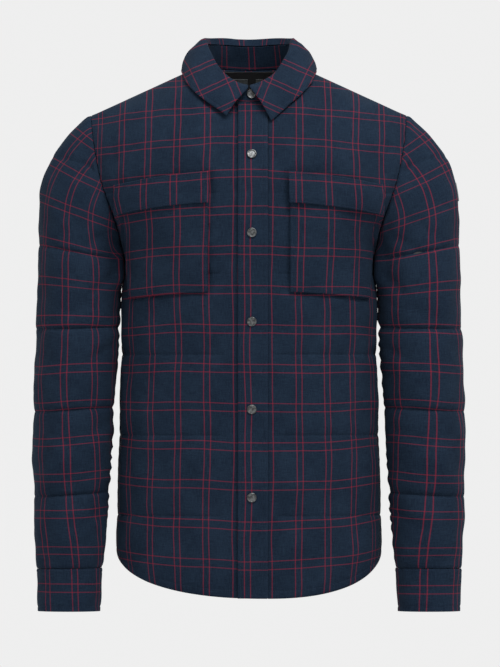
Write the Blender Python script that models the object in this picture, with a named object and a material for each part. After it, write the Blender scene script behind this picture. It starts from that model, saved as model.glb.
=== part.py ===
"""A padded check overshirt, filled out as if it were worn, with its sleeves hanging.

Metres, +Z up, front towards -Y, the wearer's left towards +X. The sizes below are in millimetres.
The origin is where shoulders would carry it: the middle of the shoulder line at the neck's height.
"""

import math

import bmesh
import bpy
from mathutils import Vector

MM = 0.001

# Cloth: one padded wall, and the height of a quilted channel's crown over its seams
WALL = 4.0
SEAM_GAP = 0.3
BODY_PUFF = 3.0
SLEEVE_PUFF = 5.0
THIN_WALL = 2.0

# Body: hem, lowest and highest quilting seams, and the spacing of the channels
HEM_FRONT = -753.0
HEM_RISE = 66.0
QUILT_LOW = -634.0
QUILT_STEP = 116.5
QUILT_HIGH = QUILT_LOW + 4 * QUILT_STEP
MIDDLE = 8.0
SIDE_ROUND = 2.3

# Shoulder, neck and armhole
NECK_HALF = 72.0
NECK_SIDE_Z = 19.0
NECK_FRONT_DROP = 57.0
NECK_BACK_DROP = 5.0
NECK_FRONT_DEPTH = 74.0
NECK_BACK_DEPTH = 70.0
SHOULDER_X = 229.0
SHOULDER_Z = -53.0
UNDERARM_Z = -250.0
SHOULDER_ROLL = 140.0
NECK_SHARE = 0.4

# Placket, as the front view shows it, and the six snaps up its middle
PLACKET_LEFT = -16.0
PLACKET_RIGHT = 27.5
PLACKET_LIFT = 0.8
PLACKET_THICK = 3.0
SNAP_X = 4.0
SNAP_RADIUS = 7.0
SNAP_THICK = 2.4
SNAP_HEIGHTS = (-113.0, -225.0, -353.0, -480.0, -607.0)

# Collar
STAND_FRONT = 24.0
STAND_BACK = 33.0
STAND_LEAN_FRONT = 4.0
STAND_LEAN_BACK = 11.0
STAND_LIFT = 1.0
ROLL_RISE = 9.0
COLLAR_LIFT = 7.0

# Lining under the neck, as a share of the back's half width and down from the neck, and the labels on it
LINING_REACH = 0.3
LINING_DEEP = 112.0
LINING_OFF = 0.5
LINING_THICK = 1.0
LABEL_THICK = 1.0
LABEL_GAP = 0.9
SLEEVE_TAB_LIFT = -0.3
NECK_LABEL = {"left": -35.0, "right": -2.0, "low": -34.0, "high": -9.0}
SIZE_TAB = {"left": 10.0, "right": 21.0, "low": -26.0, "high": -9.0}

# How far a pocket and its flap stand off the body's cloth
POCKET_LIFT = 4.6
FLAP_LIFT = POCKET_LIFT + THIN_WALL + 0.6

# Widths and depths of the body at each height
BODY = (
    {"level": -760.0, "half_width": 193.0, "front": 122.0, "back": 116.0},
    {"level": -634.0, "half_width": 191.0, "front": 123.0, "back": 118.0},
    {"level": -518.0, "half_width": 188.0, "front": 122.0, "back": 116.0},
    {"level": -402.0, "half_width": 185.0, "front": 122.0, "back": 115.0},
    {"level": -320.0, "half_width": 183.0, "front": 126.0, "back": 119.0},
    {"level": -250.0, "half_width": 184.0, "front": 130.0, "back": 124.0},
    {"level": -215.0, "half_width": 202.0, "front": 130.0, "back": 125.0},
    {"level": -170.0, "half_width": 232.0, "front": 129.0, "back": 125.0},
    {"level": -110.0, "half_width": 246.0, "front": 125.0, "back": 121.0},
    {"level": -50.0, "half_width": 252.0, "front": 120.0, "back": 115.0},
    {"level": 30.0, "half_width": 256.0, "front": 116.0, "back": 108.0},
)

# Armhole seam in the front view
ARMHOLE = (
    {"level": -250.0, "x": 184.0},
    {"level": -235.0, "x": 185.5},
    {"level": -215.0, "x": 190.5},
    {"level": -196.0, "x": 197.0},
    {"level": -170.0, "x": 207.0},
    {"level": -142.0, "x": 215.5},
    {"level": -110.0, "x": 222.0},
    {"level": -80.0, "x": 226.5},
    {"level": -53.0, "x": 229.0},
)

# Sleeve sections at the quilting seams, from the one under the armhole to the cuff
SLEEVE = (
    {"seam": 1, "outer_x": 303.0, "outer_z": -243.0, "inner_x": 188.0, "inner_z": -264.0, "y": 6.0, "depth": 72.0},
    {"seam": 2, "outer_x": 306.0, "outer_z": -364.0, "inner_x": 190.5, "inner_z": -362.0, "y": 3.0, "depth": 69.0},
    {"seam": 3, "outer_x": 310.5, "outer_z": -484.0, "inner_x": 198.5, "inner_z": -478.0, "y": -3.0, "depth": 64.0},
    {"seam": 4, "outer_x": 309.5, "outer_z": -607.0, "inner_x": 205.5, "inner_z": -601.0, "y": -11.0, "depth": 56.0},
    {"seam": 5, "outer_x": 306.5, "outer_z": -711.0, "inner_x": 214.0, "inner_z": -710.0, "y": -19.0, "depth": 47.0},
    {"seam": 6, "outer_x": 305.0, "outer_z": -773.0, "inner_x": 217.0, "inner_z": -773.0, "y": -22.0, "depth": 45.0},
)
CUFF_SEAM = 5
CAP_SEAM_SHARE = 0.33
CAP_SEAM_END = math.radians(85)

# Outer edge of the turned-down collar in the front view, from the point to the centre back
COLLAR_EDGE = (
    {"turn": 0.0, "x": 31.0, "z": -60.0},
    {"turn": 22.0, "x": 53.0, "z": -43.0},
    {"turn": 45.0, "x": 76.0, "z": -24.0},
    {"turn": 68.0, "x": 92.0, "z": -6.0},
)
COLLAR_SIDE = {"turn": 90.0, "x": 97.0, "z": 13.0}
COLLAR_BACK = {"turn": 180.0, "x": 0.0, "z": 2.0}

# Patch pocket and its flap in the front view: inner and outer edge, top and bottom at each edge
POCKET = {"inner_x": 59.0, "outer_top_x": 180.0, "outer_low_x": 170.0,
          "inner_top": -150.0, "outer_top": -166.0, "inner_low": -310.0, "outer_low": -319.0}
FLAP = {"inner_x": 57.0, "outer_top_x": 191.0, "outer_low_x": 187.0,
        "inner_top": -137.0, "outer_top": -156.0, "inner_low": -182.0, "outer_low": -195.0}


def clamp(value, low, high):
    return max(low, min(high, value))


def mix(a, b, share):
    return a + (b - a) * share


def ease(share):
    share = clamp(share, 0.0, 1.0)
    return share * share * (3.0 - 2.0 * share)


def read(table, key, column, at):
    """A column of a table at a key between its rows, on a smooth curve through them."""
    keys = [row[key] for row in table]
    values = [row[column] for row in table]
    at = clamp(at, keys[0], keys[-1])
    i = max(k for k in range(len(keys) - 1) if keys[k] <= at)
    span = keys[i + 1] - keys[i]
    share = (at - keys[i]) / span

    def slope(k):
        low, high = max(k - 1, 0), min(k + 1, len(keys) - 1)
        return (values[high] - values[low]) / (keys[high] - keys[low]) * span

    a, b = values[i], values[i + 1]
    t2, t3 = share * share, share ** 3
    return ((2 * t3 - 3 * t2 + 1) * a + (t3 - 2 * t2 + share) * slope(i)
            + (3 * t2 - 2 * t3) * b + (t3 - t2) * slope(i + 1))


def shoulder_height(x):
    return NECK_SIDE_Z + (x - NECK_HALF) * (SHOULDER_Z - NECK_SIDE_Z) / (SHOULDER_X - NECK_HALF)


def top_height(x, back):
    """Height of the neckline and shoulder seam over a place across the body."""
    x = abs(x)
    if x >= NECK_HALF:
        return shoulder_height(x)
    across = 1.0 - (x / NECK_HALF) ** 2
    if back:
        return NECK_SIDE_Z - NECK_BACK_DROP * across
    return NECK_SIDE_Z - NECK_FRONT_DROP * across ** 0.75


def depth(x, z, back):
    """How far the cloth stands in front of or behind the side seams' plane."""
    x = abs(x)
    side = clamp(x / read(BODY, "level", "half_width", z), 0.0, 1.0)
    full = read(BODY, "level", "back" if back else "front", z)
    body = full * (1.0 - side ** SIDE_ROUND) ** (1.0 / SIDE_ROUND)
    neck = 0.0
    if x < NECK_HALF:
        neck = (NECK_BACK_DEPTH if back else NECK_FRONT_DEPTH) * math.sqrt(1.0 - (x / NECK_HALF) ** 2)
    below = clamp((top_height(x, back) - z) / SHOULDER_ROLL, 0.0, 1.0)
    roll = (1.0 - (1.0 - below) ** 2) ** mix(0.95, 0.5, ease(x / (1.3 * NECK_HALF)))
    return neck + (body - neck) * roll


def edge_x(z):
    """Half the width of a body panel: its side seam, and over the underarm its armhole."""
    if z > UNDERARM_Z:
        return read(ARMHOLE, "level", "x", z)
    return read(BODY, "level", "half_width", z)


def body_point(side, inner_x, u, level, back):
    """A body panel's cloth at u, 0 at its inner edge and 1 at its side, and at a nominal height."""
    low_x = math.sin(u * math.pi / 2) ** (2 / SIDE_ROUND)
    if u < NECK_SHARE:
        top_x = NECK_HALF * math.sin(u / NECK_SHARE * math.pi / 2)
    else:
        top_x = mix(NECK_HALF, SHOULDER_X, (u - NECK_SHARE) / (1 - NECK_SHARE))
    top_x = inner_x + top_x * (SHOULDER_X - inner_x) / SHOULDER_X
    rise = clamp((level - QUILT_HIGH) / -QUILT_HIGH, 0.0, 1.0)
    z = min(level, QUILT_HIGH)
    edge_z = mix(z, SHOULDER_Z, rise)
    if level > QUILT_HIGH:
        z = mix(QUILT_HIGH, top_height(top_x, back), rise)
    if level < QUILT_LOW:
        drop = (QUILT_LOW - level) / (QUILT_LOW - HEM_FRONT)
        hem = HEM_FRONT + HEM_RISE * (1.0 - math.cos(u * math.pi / 2))
        z = mix(QUILT_LOW, hem, drop)
        edge_z = z
    edge = edge_x(edge_z)
    x = inner_x + (edge - inner_x) * low_x
    x = mix(x, top_x * edge / SHOULDER_X if inner_x == 0 else
            inner_x + (top_x - inner_x) * (edge - inner_x) / (SHOULDER_X - inner_x), ease(rise))
    y = depth(x, z, back)
    return Vector((side * x, MIDDLE + (y if back else -y), z))


def crown(share):
    """A quilted channel's cross-section: nought on its seams and one at its middle."""
    return abs(math.sin(share * math.pi)) ** 0.7


def body_puff(u, level, inner_x, x, edge_z):
    """How far the padding lifts a body panel's outside: less at its side seam, and nought at its armhole."""
    if level < QUILT_HIGH:
        channel = (level - QUILT_LOW) / QUILT_STEP
        if level < QUILT_LOW:
            channel = (QUILT_LOW - level) / (QUILT_LOW - HEM_FRONT)
        lift = crown(channel)
    else:
        lift = 0.5 * crown(clamp(level / QUILT_HIGH, 0.0, 1.0))
    side = mix(0.4 * ease((UNDERARM_Z - edge_z) / 20.0), 1.0, ease((1.0 - u) / 0.15))
    placket = ease((abs(x) - PLACKET_RIGHT - 2.0) / 22.0) if inner_x else 1.0
    return BODY_PUFF * lift * side * placket


def armhole_point(side, turn):
    """The armhole seam: turn is 0 at the shoulder, a quarter turn at the front, a half under the arm."""
    z = SHOULDER_Z + (UNDERARM_Z - SHOULDER_Z) * (1.0 - math.cos(turn)) / 2
    x = read(ARMHOLE, "level", "x", z)
    y = depth(x, z, math.sin(turn) < 0)
    return Vector((side * x, MIDDLE - math.copysign(y, math.sin(turn)), z))


def ring_point(side, turn, seam):
    """A sleeve section's point: the ellipse through its outer and inner side at a seam number."""
    row = {column: read(SLEEVE, "seam", column, seam) for column in SLEEVE[0] if column != "seam"}
    out = (1.0 + math.cos(turn)) / 2
    x = mix(row["inner_x"], row["outer_x"], out)
    z = mix(row["inner_z"], row["outer_z"], out)
    return Vector((side * x, row["y"] - row["depth"] * math.sin(turn), z))


def sleeve_point(side, turn, down):
    """The sleeve's cloth: down is 0 at the armhole, then counts its quilting seams."""
    if down >= 1.0:
        return ring_point(side, turn, down)
    start = armhole_point(side, turn)
    end = ring_point(side, turn, 1.0)
    fullness = 1.0 + 2.45 * ((1.0 + math.cos(turn)) / 2) ** 1.2
    out = 1.0 - (1.0 - down) ** fullness
    return Vector((mix(start.x, end.x, out), mix(start.y, end.y, down), mix(start.z, end.z, down)))


def sleeve_puff(turn, down):
    if down >= 1.0:
        return SLEEVE_PUFF * crown(down - 1.0)
    away = min(turn % (2 * math.pi), -turn % (2 * math.pi))
    seam = CAP_SEAM_SHARE * max(math.cos(away / CAP_SEAM_END * math.pi / 2), 0.0) if away < CAP_SEAM_END else 0.0
    if down < seam:
        return 0.7 * SLEEVE_PUFF * crown(down / seam) * seam / CAP_SEAM_SHARE
    return SLEEVE_PUFF * crown((down - seam) / (1.0 - seam)) * mix(0.35, 1.0, (1.0 + math.cos(turn)) / 2)


def neck_point(turn):
    """The neck seam: turn in degrees is 0 at the centre front and 180 at the centre back."""
    angle = math.radians(turn)
    back = math.cos(angle) < 0
    x = NECK_HALF * math.sin(angle)
    depth_here = NECK_BACK_DEPTH if back else NECK_FRONT_DEPTH
    return Vector((x, MIDDLE - depth_here * math.cos(angle), top_height(x, back)))


def stand_point(turn, up):
    """The collar stand: up is 0 at the neck seam and 1 under the collar."""
    base = neck_point(turn)
    around = abs(((turn + 180) % 360) - 180) / 180
    tall = mix(STAND_FRONT, STAND_BACK, ease(2.0 * around))
    lean = mix(STAND_LEAN_FRONT, STAND_LEAN_BACK, ease(2.0 * around))
    inward = Vector((-base.x, MIDDLE - base.y, 0)).normalized()
    return base + inward * (lean * up) + Vector((0, 0, tall * up + STAND_LIFT))


def collar_edge(turn):
    """The outer edge of the turned-down collar, resting just over the body."""
    around = abs(((turn + 180) % 360) - 180)
    side = 1 if turn <= 180 else -1
    last = COLLAR_EDGE[-1]
    if around <= last["turn"]:
        x = read(COLLAR_EDGE, "turn", "x", around)
        z = read(COLLAR_EDGE, "turn", "z", around)
        return Vector((side * x, MIDDLE - depth(x, z, False) - COLLAR_LIFT, z))
    start = collar_edge(last["turn"])
    if around <= COLLAR_SIDE["turn"]:
        share = (around - last["turn"]) / (COLLAR_SIDE["turn"] - last["turn"])
        x = mix(last["x"], COLLAR_SIDE["x"], math.sin(share * math.pi / 2))
        return Vector((side * x, mix(start.y, MIDDLE - 6.0, share), mix(last["z"], COLLAR_SIDE["z"], share)))
    share = (around - 90.0) / 90.0
    angle = share * math.pi / 2
    x = COLLAR_SIDE["x"] * math.cos(angle)
    z = mix(COLLAR_SIDE["z"], COLLAR_BACK["z"], ease(share))
    y = MIDDLE + depth(x, z, True) + COLLAR_LIFT
    return Vector((side * x, mix(MIDDLE - 6.0, y, math.sin(angle) ** 0.8), z))


def collar_point(turn, out):
    """The turned-down collar: out is 0 on the stand's top, then over the roll to its outer edge at 1."""
    top = stand_point(turn, 1.0) + Vector((0, 0, 2.5 * SEAM_GAP))
    edge = collar_edge(turn)
    away = Vector((top.x, top.y - MIDDLE, 0)).normalized()
    rise = ROLL_RISE * mix(0.55, 1.0, ease(1.0 - abs(turn - 180.0) / 180.0))
    crest = top + away * 3.0 + Vector((0, 0, rise))
    shoulder = crest + away * 5.0 - Vector((0, 0, 2.5))
    if out < 0.12:
        return top.lerp(crest, math.sin(out / 0.12 * math.pi / 2))
    if out < 0.24:
        return crest.lerp(shoulder, (out - 0.12) / 0.12)
    share = (out - 0.24) / 0.76
    bulge = 5.0 * math.sin(share * math.pi)
    return over_body(shoulder.lerp(edge, share) + away * bulge + Vector((0, 0, 0.4 * bulge)), COLLAR_LIFT)


def over_body(point, lift):
    """A place moved up, or out, the shorter way, until it is clear of the body's cloth by a lift."""
    back = point.y > MIDDLE

    def short_at(z):
        return lift + depth(point.x, z, back) - abs(point.y - MIDDLE) if z < top_height(point.x, back) + lift else 0.0

    out = short_at(point.z)
    if out <= 0.0:
        return point
    up = 0.0
    while up < out and short_at(point.z + up) > 0.0:
        up += 0.5
    if up < out:
        return point + Vector((0, 0, up))
    return point + Vector((0, out if back else -out, 0))


def placket_point(across, level):
    """The cloth under the placket: across runs from its free edge to its seam, at a nominal height."""
    x = mix(PLACKET_LEFT, PLACKET_RIGHT, across)
    z = min(level, QUILT_HIGH)
    if level > QUILT_HIGH:
        z = mix(QUILT_HIGH, top_height(x, False), (level - QUILT_HIGH) / -QUILT_HIGH)
    return Vector((x, MIDDLE - depth(x, z, False), z))


def patch_point(side, patch, across, down):
    """A pocket's or flap's place on the front: across from its inner edge, down from its top."""
    outer = mix(patch["outer_top_x"], patch["outer_low_x"], down)
    x = mix(patch["inner_x"], outer, across)
    top = mix(patch["inner_top"], patch["outer_top"], across ** 1.5)
    low = mix(patch["inner_low"], patch["outer_low"], across ** 1.5)
    z = mix(top, low, down)
    return Vector((side * x, MIDDLE - depth(x, z, False), z))


def facing(point_at, a, b, step_a, step_b, away_from):
    """The unit normal of a surface at a, b, turned away from a point inside the garment."""
    across = point_at(a + step_a, b) - point_at(a - step_a, b)
    along = point_at(a, b + step_b) - point_at(a, b - step_b)
    normal = across.cross(along)
    if normal.length < 1e-9:
        return Vector((0, -1, 0))
    normal.normalize()
    here = point_at(a, b)
    return normal if normal.dot(here - away_from(here)) > 0 else -normal


def wall(name, columns, rows, outer_at, inner_at, closed, material, collection):
    """A cloth wall: an outer grid and a plainer inner one, joined all round their edges."""
    mesh = bmesh.new()
    layers = []
    for point_at in (outer_at, inner_at):
        grid = bmesh.ops.create_grid(mesh, x_segments=len(columns) - 1, y_segments=len(rows) - 1, size=1.0)
        for vert in grid["verts"]:
            column = round((vert.co.x + 1.0) / 2.0 * (len(columns) - 1))
            row = round((vert.co.y + 1.0) / 2.0 * (len(rows) - 1))
            vert.co = point_at(columns[column], rows[row]) * MM
        layers.append(grid["verts"])
    faces = {face for vert in layers[1] for face in vert.link_faces}
    bmesh.ops.reverse_faces(mesh, faces=list(faces))
    if closed:
        bmesh.ops.remove_doubles(mesh, verts=mesh.verts, dist=1e-6)
    edges = [edge for edge in mesh.edges if edge.is_boundary]
    if closed:
        for end in (0, -1):
            height_of = point_at_ring(columns, rows[end], (outer_at, inner_at))
            loop = [edge for edge in edges if all(tuple(round(c, 7) for c in v.co) in height_of for v in edge.verts)]
            bmesh.ops.bridge_loops(mesh, edges=loop)
    else:
        bmesh.ops.bridge_loops(mesh, edges=edges)
    bmesh.ops.recalc_face_normals(mesh, faces=mesh.faces)
    bmesh.ops.triangulate(mesh, faces=mesh.faces)
    data = bpy.data.meshes.new(name)
    mesh.to_mesh(data)
    mesh.free()
    data.shade_smooth()
    data.set_sharp_from_angle(angle=math.radians(40))
    data.materials.append(material)
    made = bpy.data.objects.new(name, data)
    collection.objects.link(made)
    return made


def point_at_ring(columns, row, layers):
    """The rounded places of a tube's end ring, on its outside and its inside."""
    places = set()
    for point_at in layers:
        for column in columns:
            mesh_place = Vector(point_at(column, row) * MM)
            places.add(tuple(round(c, 7) for c in mesh_place))
    return places


def steps(count, low=0.0, high=1.0):
    return [low + (high - low) * i / count for i in range(count + 1)]


def body_levels():
    """Nominal heights of a body panel's rows: a seam, its shoulders and the crown of each channel."""
    levels = [mix(HEM_FRONT, QUILT_LOW, share) for share in (0.0, 0.2, 0.5, 0.86)]
    for channel in range(4):
        shares = (0.0, 0.14, 0.3, 0.5, 0.7, 0.86) if channel == 3 else (0.0, 0.14, 0.5, 0.86)
        levels += [QUILT_LOW + QUILT_STEP * (channel + share) for share in shares]
    levels += [QUILT_HIGH * (1.0 - share) for share in (0.0, 0.12, 0.3, 0.48, 0.66, 0.8, 0.92, 1.0)]
    return levels


def axis_of_body(here):
    return Vector((0.0, MIDDLE, here.z - 40.0 if here.z > QUILT_HIGH else here.z))


def panel_place(side, inner_x, back, u, level, lift):
    """A place on a body panel, off its cloth by a lift. The seam gap is left at its side and shoulder."""

    def cloth(u, level):
        return body_point(-side if u < 0 and back else side, inner_x, min(abs(u), 1.0), level, back)

    point = cloth(u, level)
    normal = facing(cloth, clamp(u, -0.985, 0.985) if back else clamp(u, 0.015, 0.985),
                    clamp(level, HEM_FRONT + 2.0, -3.0), 0.012, 2.0, axis_of_body)
    edge = cloth(math.copysign(1.0, u), level).z
    at_side = ease((abs(u) - 0.9) / 0.1)
    at_shoulder = ease((level + 14.0) / 14.0) * ease((abs(point.x) - NECK_HALF + 12.0) / 10.0)
    normal.y *= (1.0 - at_side * ease((UNDERARM_Z + 40.0 - edge) / 40.0)) * (1.0 - at_shoulder)
    apart = SEAM_GAP * (at_side + (1.0 if level > -2.0 and abs(point.x) >= NECK_HALF - 1.0 else 0.0))
    point.y += apart if back else -apart
    return point + normal.normalized() * lift


def body_panel(name, side, inner_x, columns, back, material, collection):
    """A front or the back, quilted on its outside."""

    def outer(u, level):
        here = panel_place(side, inner_x, back, u, level, 0.0)
        edge = body_point(side, inner_x, 1.0, level, back)
        return panel_place(side, inner_x, back, u, level, body_puff(abs(u), level, inner_x, here.x, edge.z))

    def inner(u, level):
        return panel_place(side, inner_x, back, u, level, -WALL)

    return wall(name, columns, body_levels(), outer, inner, False, material, collection)


def back_lining(columns, material, collection):
    """The lining's upper edge, all that shows of it, through the neck."""

    def outer(u, level):
        return panel_place(1, 0.0, True, u, level, -WALL - LINING_OFF)

    def inner(u, level):
        return panel_place(1, 0.0, True, u, level, -WALL - LINING_OFF - LINING_THICK)

    columns = [u for u in columns if abs(u) <= LINING_REACH]
    levels = [level for level in body_levels() if level >= -LINING_DEEP]
    return wall("back_lining", columns, levels, outer, inner, False, material, collection)


def neck_tab(name, shape, material, collection):
    """A bare woven label, lying on the lining under the collar stand."""
    off = WALL + LINING_OFF + LINING_THICK + LABEL_GAP

    def place(across, level, lift):
        x = mix(shape["left"], shape["right"], across)
        u = math.copysign(NECK_SHARE * math.asin(abs(x) / NECK_HALF) / (math.pi / 2), x)
        return panel_place(1, 0.0, True, u, level, -off - lift)

    def outer(across, level):
        return place(across, level, 0.0)

    def inner(across, level):
        return place(across, level, LABEL_THICK)

    levels = steps(2, shape["low"], shape["high"])
    return wall(name, steps(2), levels, outer, inner, False, material, collection)


def sleeve_tab(material, collection):
    """A bare woven tab, lying on the outside of the wearer's left sleeve."""

    def place(turn, down, lift):
        base = sleeve_point(1, turn % (2 * math.pi), down)
        puff = sleeve_puff(turn, down)
        return base + Vector((puff + lift, 0, 0.2 * (puff + lift)))

    def outer(turn, down):
        return place(turn, down, SLEEVE_TAB_LIFT + LABEL_THICK)

    def inner(turn, down):
        return place(turn, down, SLEEVE_TAB_LIFT)

    return wall("sleeve_tab", steps(3, 0.02, 0.20), steps(3, 0.52, 0.66), outer, inner, False, material, collection)


def sleeve(name, side, material, collection):
    turns = steps(20, 0.0, 2 * math.pi)
    downs = [0.0, 0.05, 0.13, 0.24, 0.36, 0.5, 0.68, 0.86]
    for channel in range(1, CUFF_SEAM):
        downs += [channel + share for share in (0.0, 0.13, 0.5, 0.87)]
    downs.append(CUFF_SEAM - 0.004)

    def cloth(turn, down):
        return sleeve_point(side, turn % (2 * math.pi), down)

    def axis(here):
        x = side * mix(240.0, 258.0, clamp(-here.z / 700.0, 0.0, 1.0))
        return Vector((x - side * 40.0 if here.z > -170 else x, MIDDLE, min(here.z, -110.0)))

    def placed(turn, down, lift):
        near = clamp(down, 0.02, CUFF_SEAM)
        start = 1.0 - ease(down / 0.1)
        push = Vector((side * 4.0 * SEAM_GAP, 0, 0)) * start
        under = ease((-math.cos(turn) - 0.4) / 0.6)
        push += Vector((side * 2.4 * (1.0 - ease(down)), 0, 3.4 * start)) * under
        return cloth(turn, down) + facing(cloth, turn, near, 0.02, 0.02, axis) * lift + push

    def outer(turn, down):
        return placed(turn, down, sleeve_puff(turn, min(down, CUFF_SEAM - 0.001)))

    def inner(turn, down):
        return placed(turn, down, -WALL)

    return wall(name, turns, downs, outer, inner, True, material, collection)


def cuff(name, side, material, collection):
    turns = steps(20, 0.0, 2 * math.pi)
    downs = [CUFF_SEAM + 0.004, CUFF_SEAM + 0.35, CUFF_SEAM + 0.7, CUFF_SEAM + 1.0]

    def ring(turn, down, grow):
        point = ring_point(side, turn % (2 * math.pi), down)
        centre = (ring_point(side, 0.0, down) + ring_point(side, math.pi, down)) / 2
        out = point - centre
        return centre + out * ((out.length + grow) / out.length)

    def outer(turn, down):
        return ring(turn, down, 1.5)

    def inner(turn, down):
        return ring(turn, down, 1.5 - WALL)

    return wall(name, turns, downs, outer, inner, True, material, collection)


def collar_stand(material, collection):
    turns = steps(26, 350.5, -9.0)
    ups = steps(3)

    def normal(turn, up):
        return facing(stand_point, turn, up, 1.0, 0.1, lambda here: Vector((0, MIDDLE, here.z)))

    def outer(turn, up):
        return stand_point(turn, up)

    def inner(turn, up):
        return stand_point(turn, up) - normal(turn, up) * THIN_WALL

    return wall("collar_stand", turns, ups, outer, inner, False, material, collection)


def collar_fall(material, collection):
    turns = steps(28, 359.0, 1.0)
    outs = [0.0, 0.06, 0.12, 0.18, 0.24, 0.4, 0.6, 0.8, 1.0]

    def normal(turn, out):
        out = clamp(out, 0.03, 0.97)
        turn = clamp(turn, 3.0, 357.0)
        across = collar_point(turn + 1.0, out) - collar_point(turn - 1.0, out)
        along = collar_point(turn, out + 0.02) - collar_point(turn, out - 0.02)
        return across.cross(along).normalized()

    def outer(turn, out):
        return collar_point(turn, out)

    def inner(turn, out):
        return collar_point(turn, out) - normal(turn, out) * -THIN_WALL

    return wall("collar_fall", turns, outs, outer, inner, False, material, collection)


def placket(material, collection):
    def normal(across, level):
        return facing(placket_point, clamp(across, 0.05, 0.95), clamp(level, HEM_FRONT + 2.0, -6.0), 0.04, 4.0,
                      axis_of_body)

    def outer(across, level):
        return placket_point(across, level) + normal(across, level) * (PLACKET_LIFT + PLACKET_THICK)

    def inner(across, level):
        return placket_point(across, level) + normal(across, level) * PLACKET_LIFT

    levels = [clamp(level, HEM_FRONT + 0.5, -0.5) for level in body_levels()]
    return wall("placket", steps(4), levels, outer, inner, False, material, collection)


def patch(name, side, shape, lift, thick, columns, rows, material, collection):
    def cloth(across, down):
        return patch_point(side, shape, across, down)

    def normal(across, down):
        return facing(cloth, clamp(across, 0.03, 0.97), clamp(down, 0.03, 0.97), 0.02, 0.02, axis_of_body)

    def outer(across, down):
        return cloth(across, down) + normal(across, down) * (lift + thick)

    def inner(across, down):
        return cloth(across, down) + normal(across, down) * lift

    return wall(name, columns, rows, outer, inner, False, material, collection)


def snap(name, centre, outwards, material, collection):
    """A domed snap cap: a turned profile about the axis that points out of the cloth."""
    mesh = bmesh.new()
    rings = [(SNAP_RADIUS, 0.0), (SNAP_RADIUS, 0.5 * SNAP_THICK), (0.8 * SNAP_RADIUS, 0.85 * SNAP_THICK)]
    start = bmesh.ops.create_circle(mesh, cap_ends=True, segments=16, radius=rings[0][0] * MM)["verts"]
    face = start[0].link_faces[0]
    for radius, height in rings[1:]:
        made = bmesh.ops.extrude_discrete_faces(mesh, faces=[face])["faces"]
        face = made[0]
        for vert in face.verts:
            out = Vector((vert.co.x, vert.co.y, 0)).normalized() * radius * MM
            vert.co = Vector((out.x, out.y, height * MM))
    poke = bmesh.ops.poke(mesh, faces=[face])["verts"]
    poke[0].co = Vector((0, 0, SNAP_THICK * MM))
    bmesh.ops.holes_fill(mesh, edges=[edge for edge in mesh.edges if edge.is_boundary])
    bmesh.ops.recalc_face_normals(mesh, faces=mesh.faces)
    turn = Vector((0, 0, 1)).rotation_difference(outwards).to_matrix().to_4x4()
    bmesh.ops.transform(mesh, matrix=turn, verts=mesh.verts)
    bmesh.ops.translate(mesh, vec=centre * MM, verts=mesh.verts)
    data = bpy.data.meshes.new(name)
    mesh.to_mesh(data)
    mesh.free()
    data.materials.append(material)
    collection.objects.link(bpy.data.objects.new(name, data))


def finish(name, colour, rough, metallic=0.0):
    """A plain material in a piece's own colour."""
    material = bpy.data.materials.new(name)
    material.use_nodes = True
    shader = material.node_tree.nodes["Principled BSDF"]
    shader.inputs["Base Color"].default_value = (*colour, 1.0)
    shader.inputs["Roughness"].default_value = rough
    shader.inputs["Metallic"].default_value = metallic
    return material


def main():
    for old in list(bpy.data.objects):
        bpy.data.objects.remove(old)
    collection = bpy.data.collections.new("overshirt")
    bpy.context.scene.collection.children.link(collection)
    cloth = finish("check_cloth", (0.02, 0.04, 0.08), 0.85)
    lining = finish("lining", (0.01, 0.01, 0.012), 0.5)
    tape = finish("woven_tape", (0.09, 0.1, 0.11), 0.6)
    metal = finish("gunmetal", (0.08, 0.085, 0.09), 0.35, 1.0)

    neck = [NECK_SHARE * share for share in steps(6)]
    half = neck + [mix(NECK_SHARE, 1.0, 1.0 - (1.0 - share) ** 1.2) for share in steps(7)[1:]]
    back_half = neck[::2] + half[len(neck):]
    whole = [-u for u in reversed(back_half[1:])] + back_half
    across = [1.0 - (1.0 - share) ** 1.5 for share in steps(10)]
    body_panel("front_left", 1, PLACKET_RIGHT + SEAM_GAP, half, False, cloth, collection)
    body_panel("front_right", -1, -PLACKET_RIGHT + 1.0, half, False, cloth, collection)
    body_panel("back", 1, 0.0, whole, True, cloth, collection)
    for name, side in (("left", 1), ("right", -1)):
        sleeve("sleeve_" + name, side, cloth, collection)
        cuff("cuff_" + name, side, cloth, collection)
        patch("pocket_" + name, side, POCKET, POCKET_LIFT, THIN_WALL, across, steps(8), cloth, collection)
        patch("flap_" + name, side, FLAP, FLAP_LIFT, THIN_WALL, across, steps(3), cloth, collection)
    back_lining(whole, lining, collection)
    neck_tab("neck_label", NECK_LABEL, tape, collection)
    neck_tab("size_tab", SIZE_TAB, tape, collection)
    sleeve_tab(tape, collection)
    placket(cloth, collection)
    collar_stand(cloth, collection)
    collar_fall(cloth, collection)
    for number, height in enumerate(SNAP_HEIGHTS, 1):
        base = Vector((SNAP_X, MIDDLE - depth(SNAP_X, height, False), height))
        low = Vector((SNAP_X, MIDDLE - depth(SNAP_X, height - 5.0, False), height - 5.0))
        high = Vector((SNAP_X, MIDDLE - depth(SNAP_X, height + 5.0, False), height + 5.0))
        out = Vector((1, 0, 0)).cross(high - low).normalized()
        snap(f"snap_{number}", base + out * (PLACKET_LIFT + PLACKET_THICK + SEAM_GAP), out, metal, collection)
    stand = stand_point(3.0, 0.55)
    out = Vector((0.0, -1.0, 0.15)).normalized()
    snap("snap_collar", stand + out * 0.6, out, metal, collection)


main()
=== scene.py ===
"""A padded check overshirt, dressed over its solids: quilted cloth, trims, snaps and stitching."""

import math

import bmesh
import bpy
import numpy as np
from bpy.props import FloatProperty, FloatVectorProperty, PointerProperty
from bpy.types import Operator, Panel, PropertyGroup
from mathutils import Matrix, Vector


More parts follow.
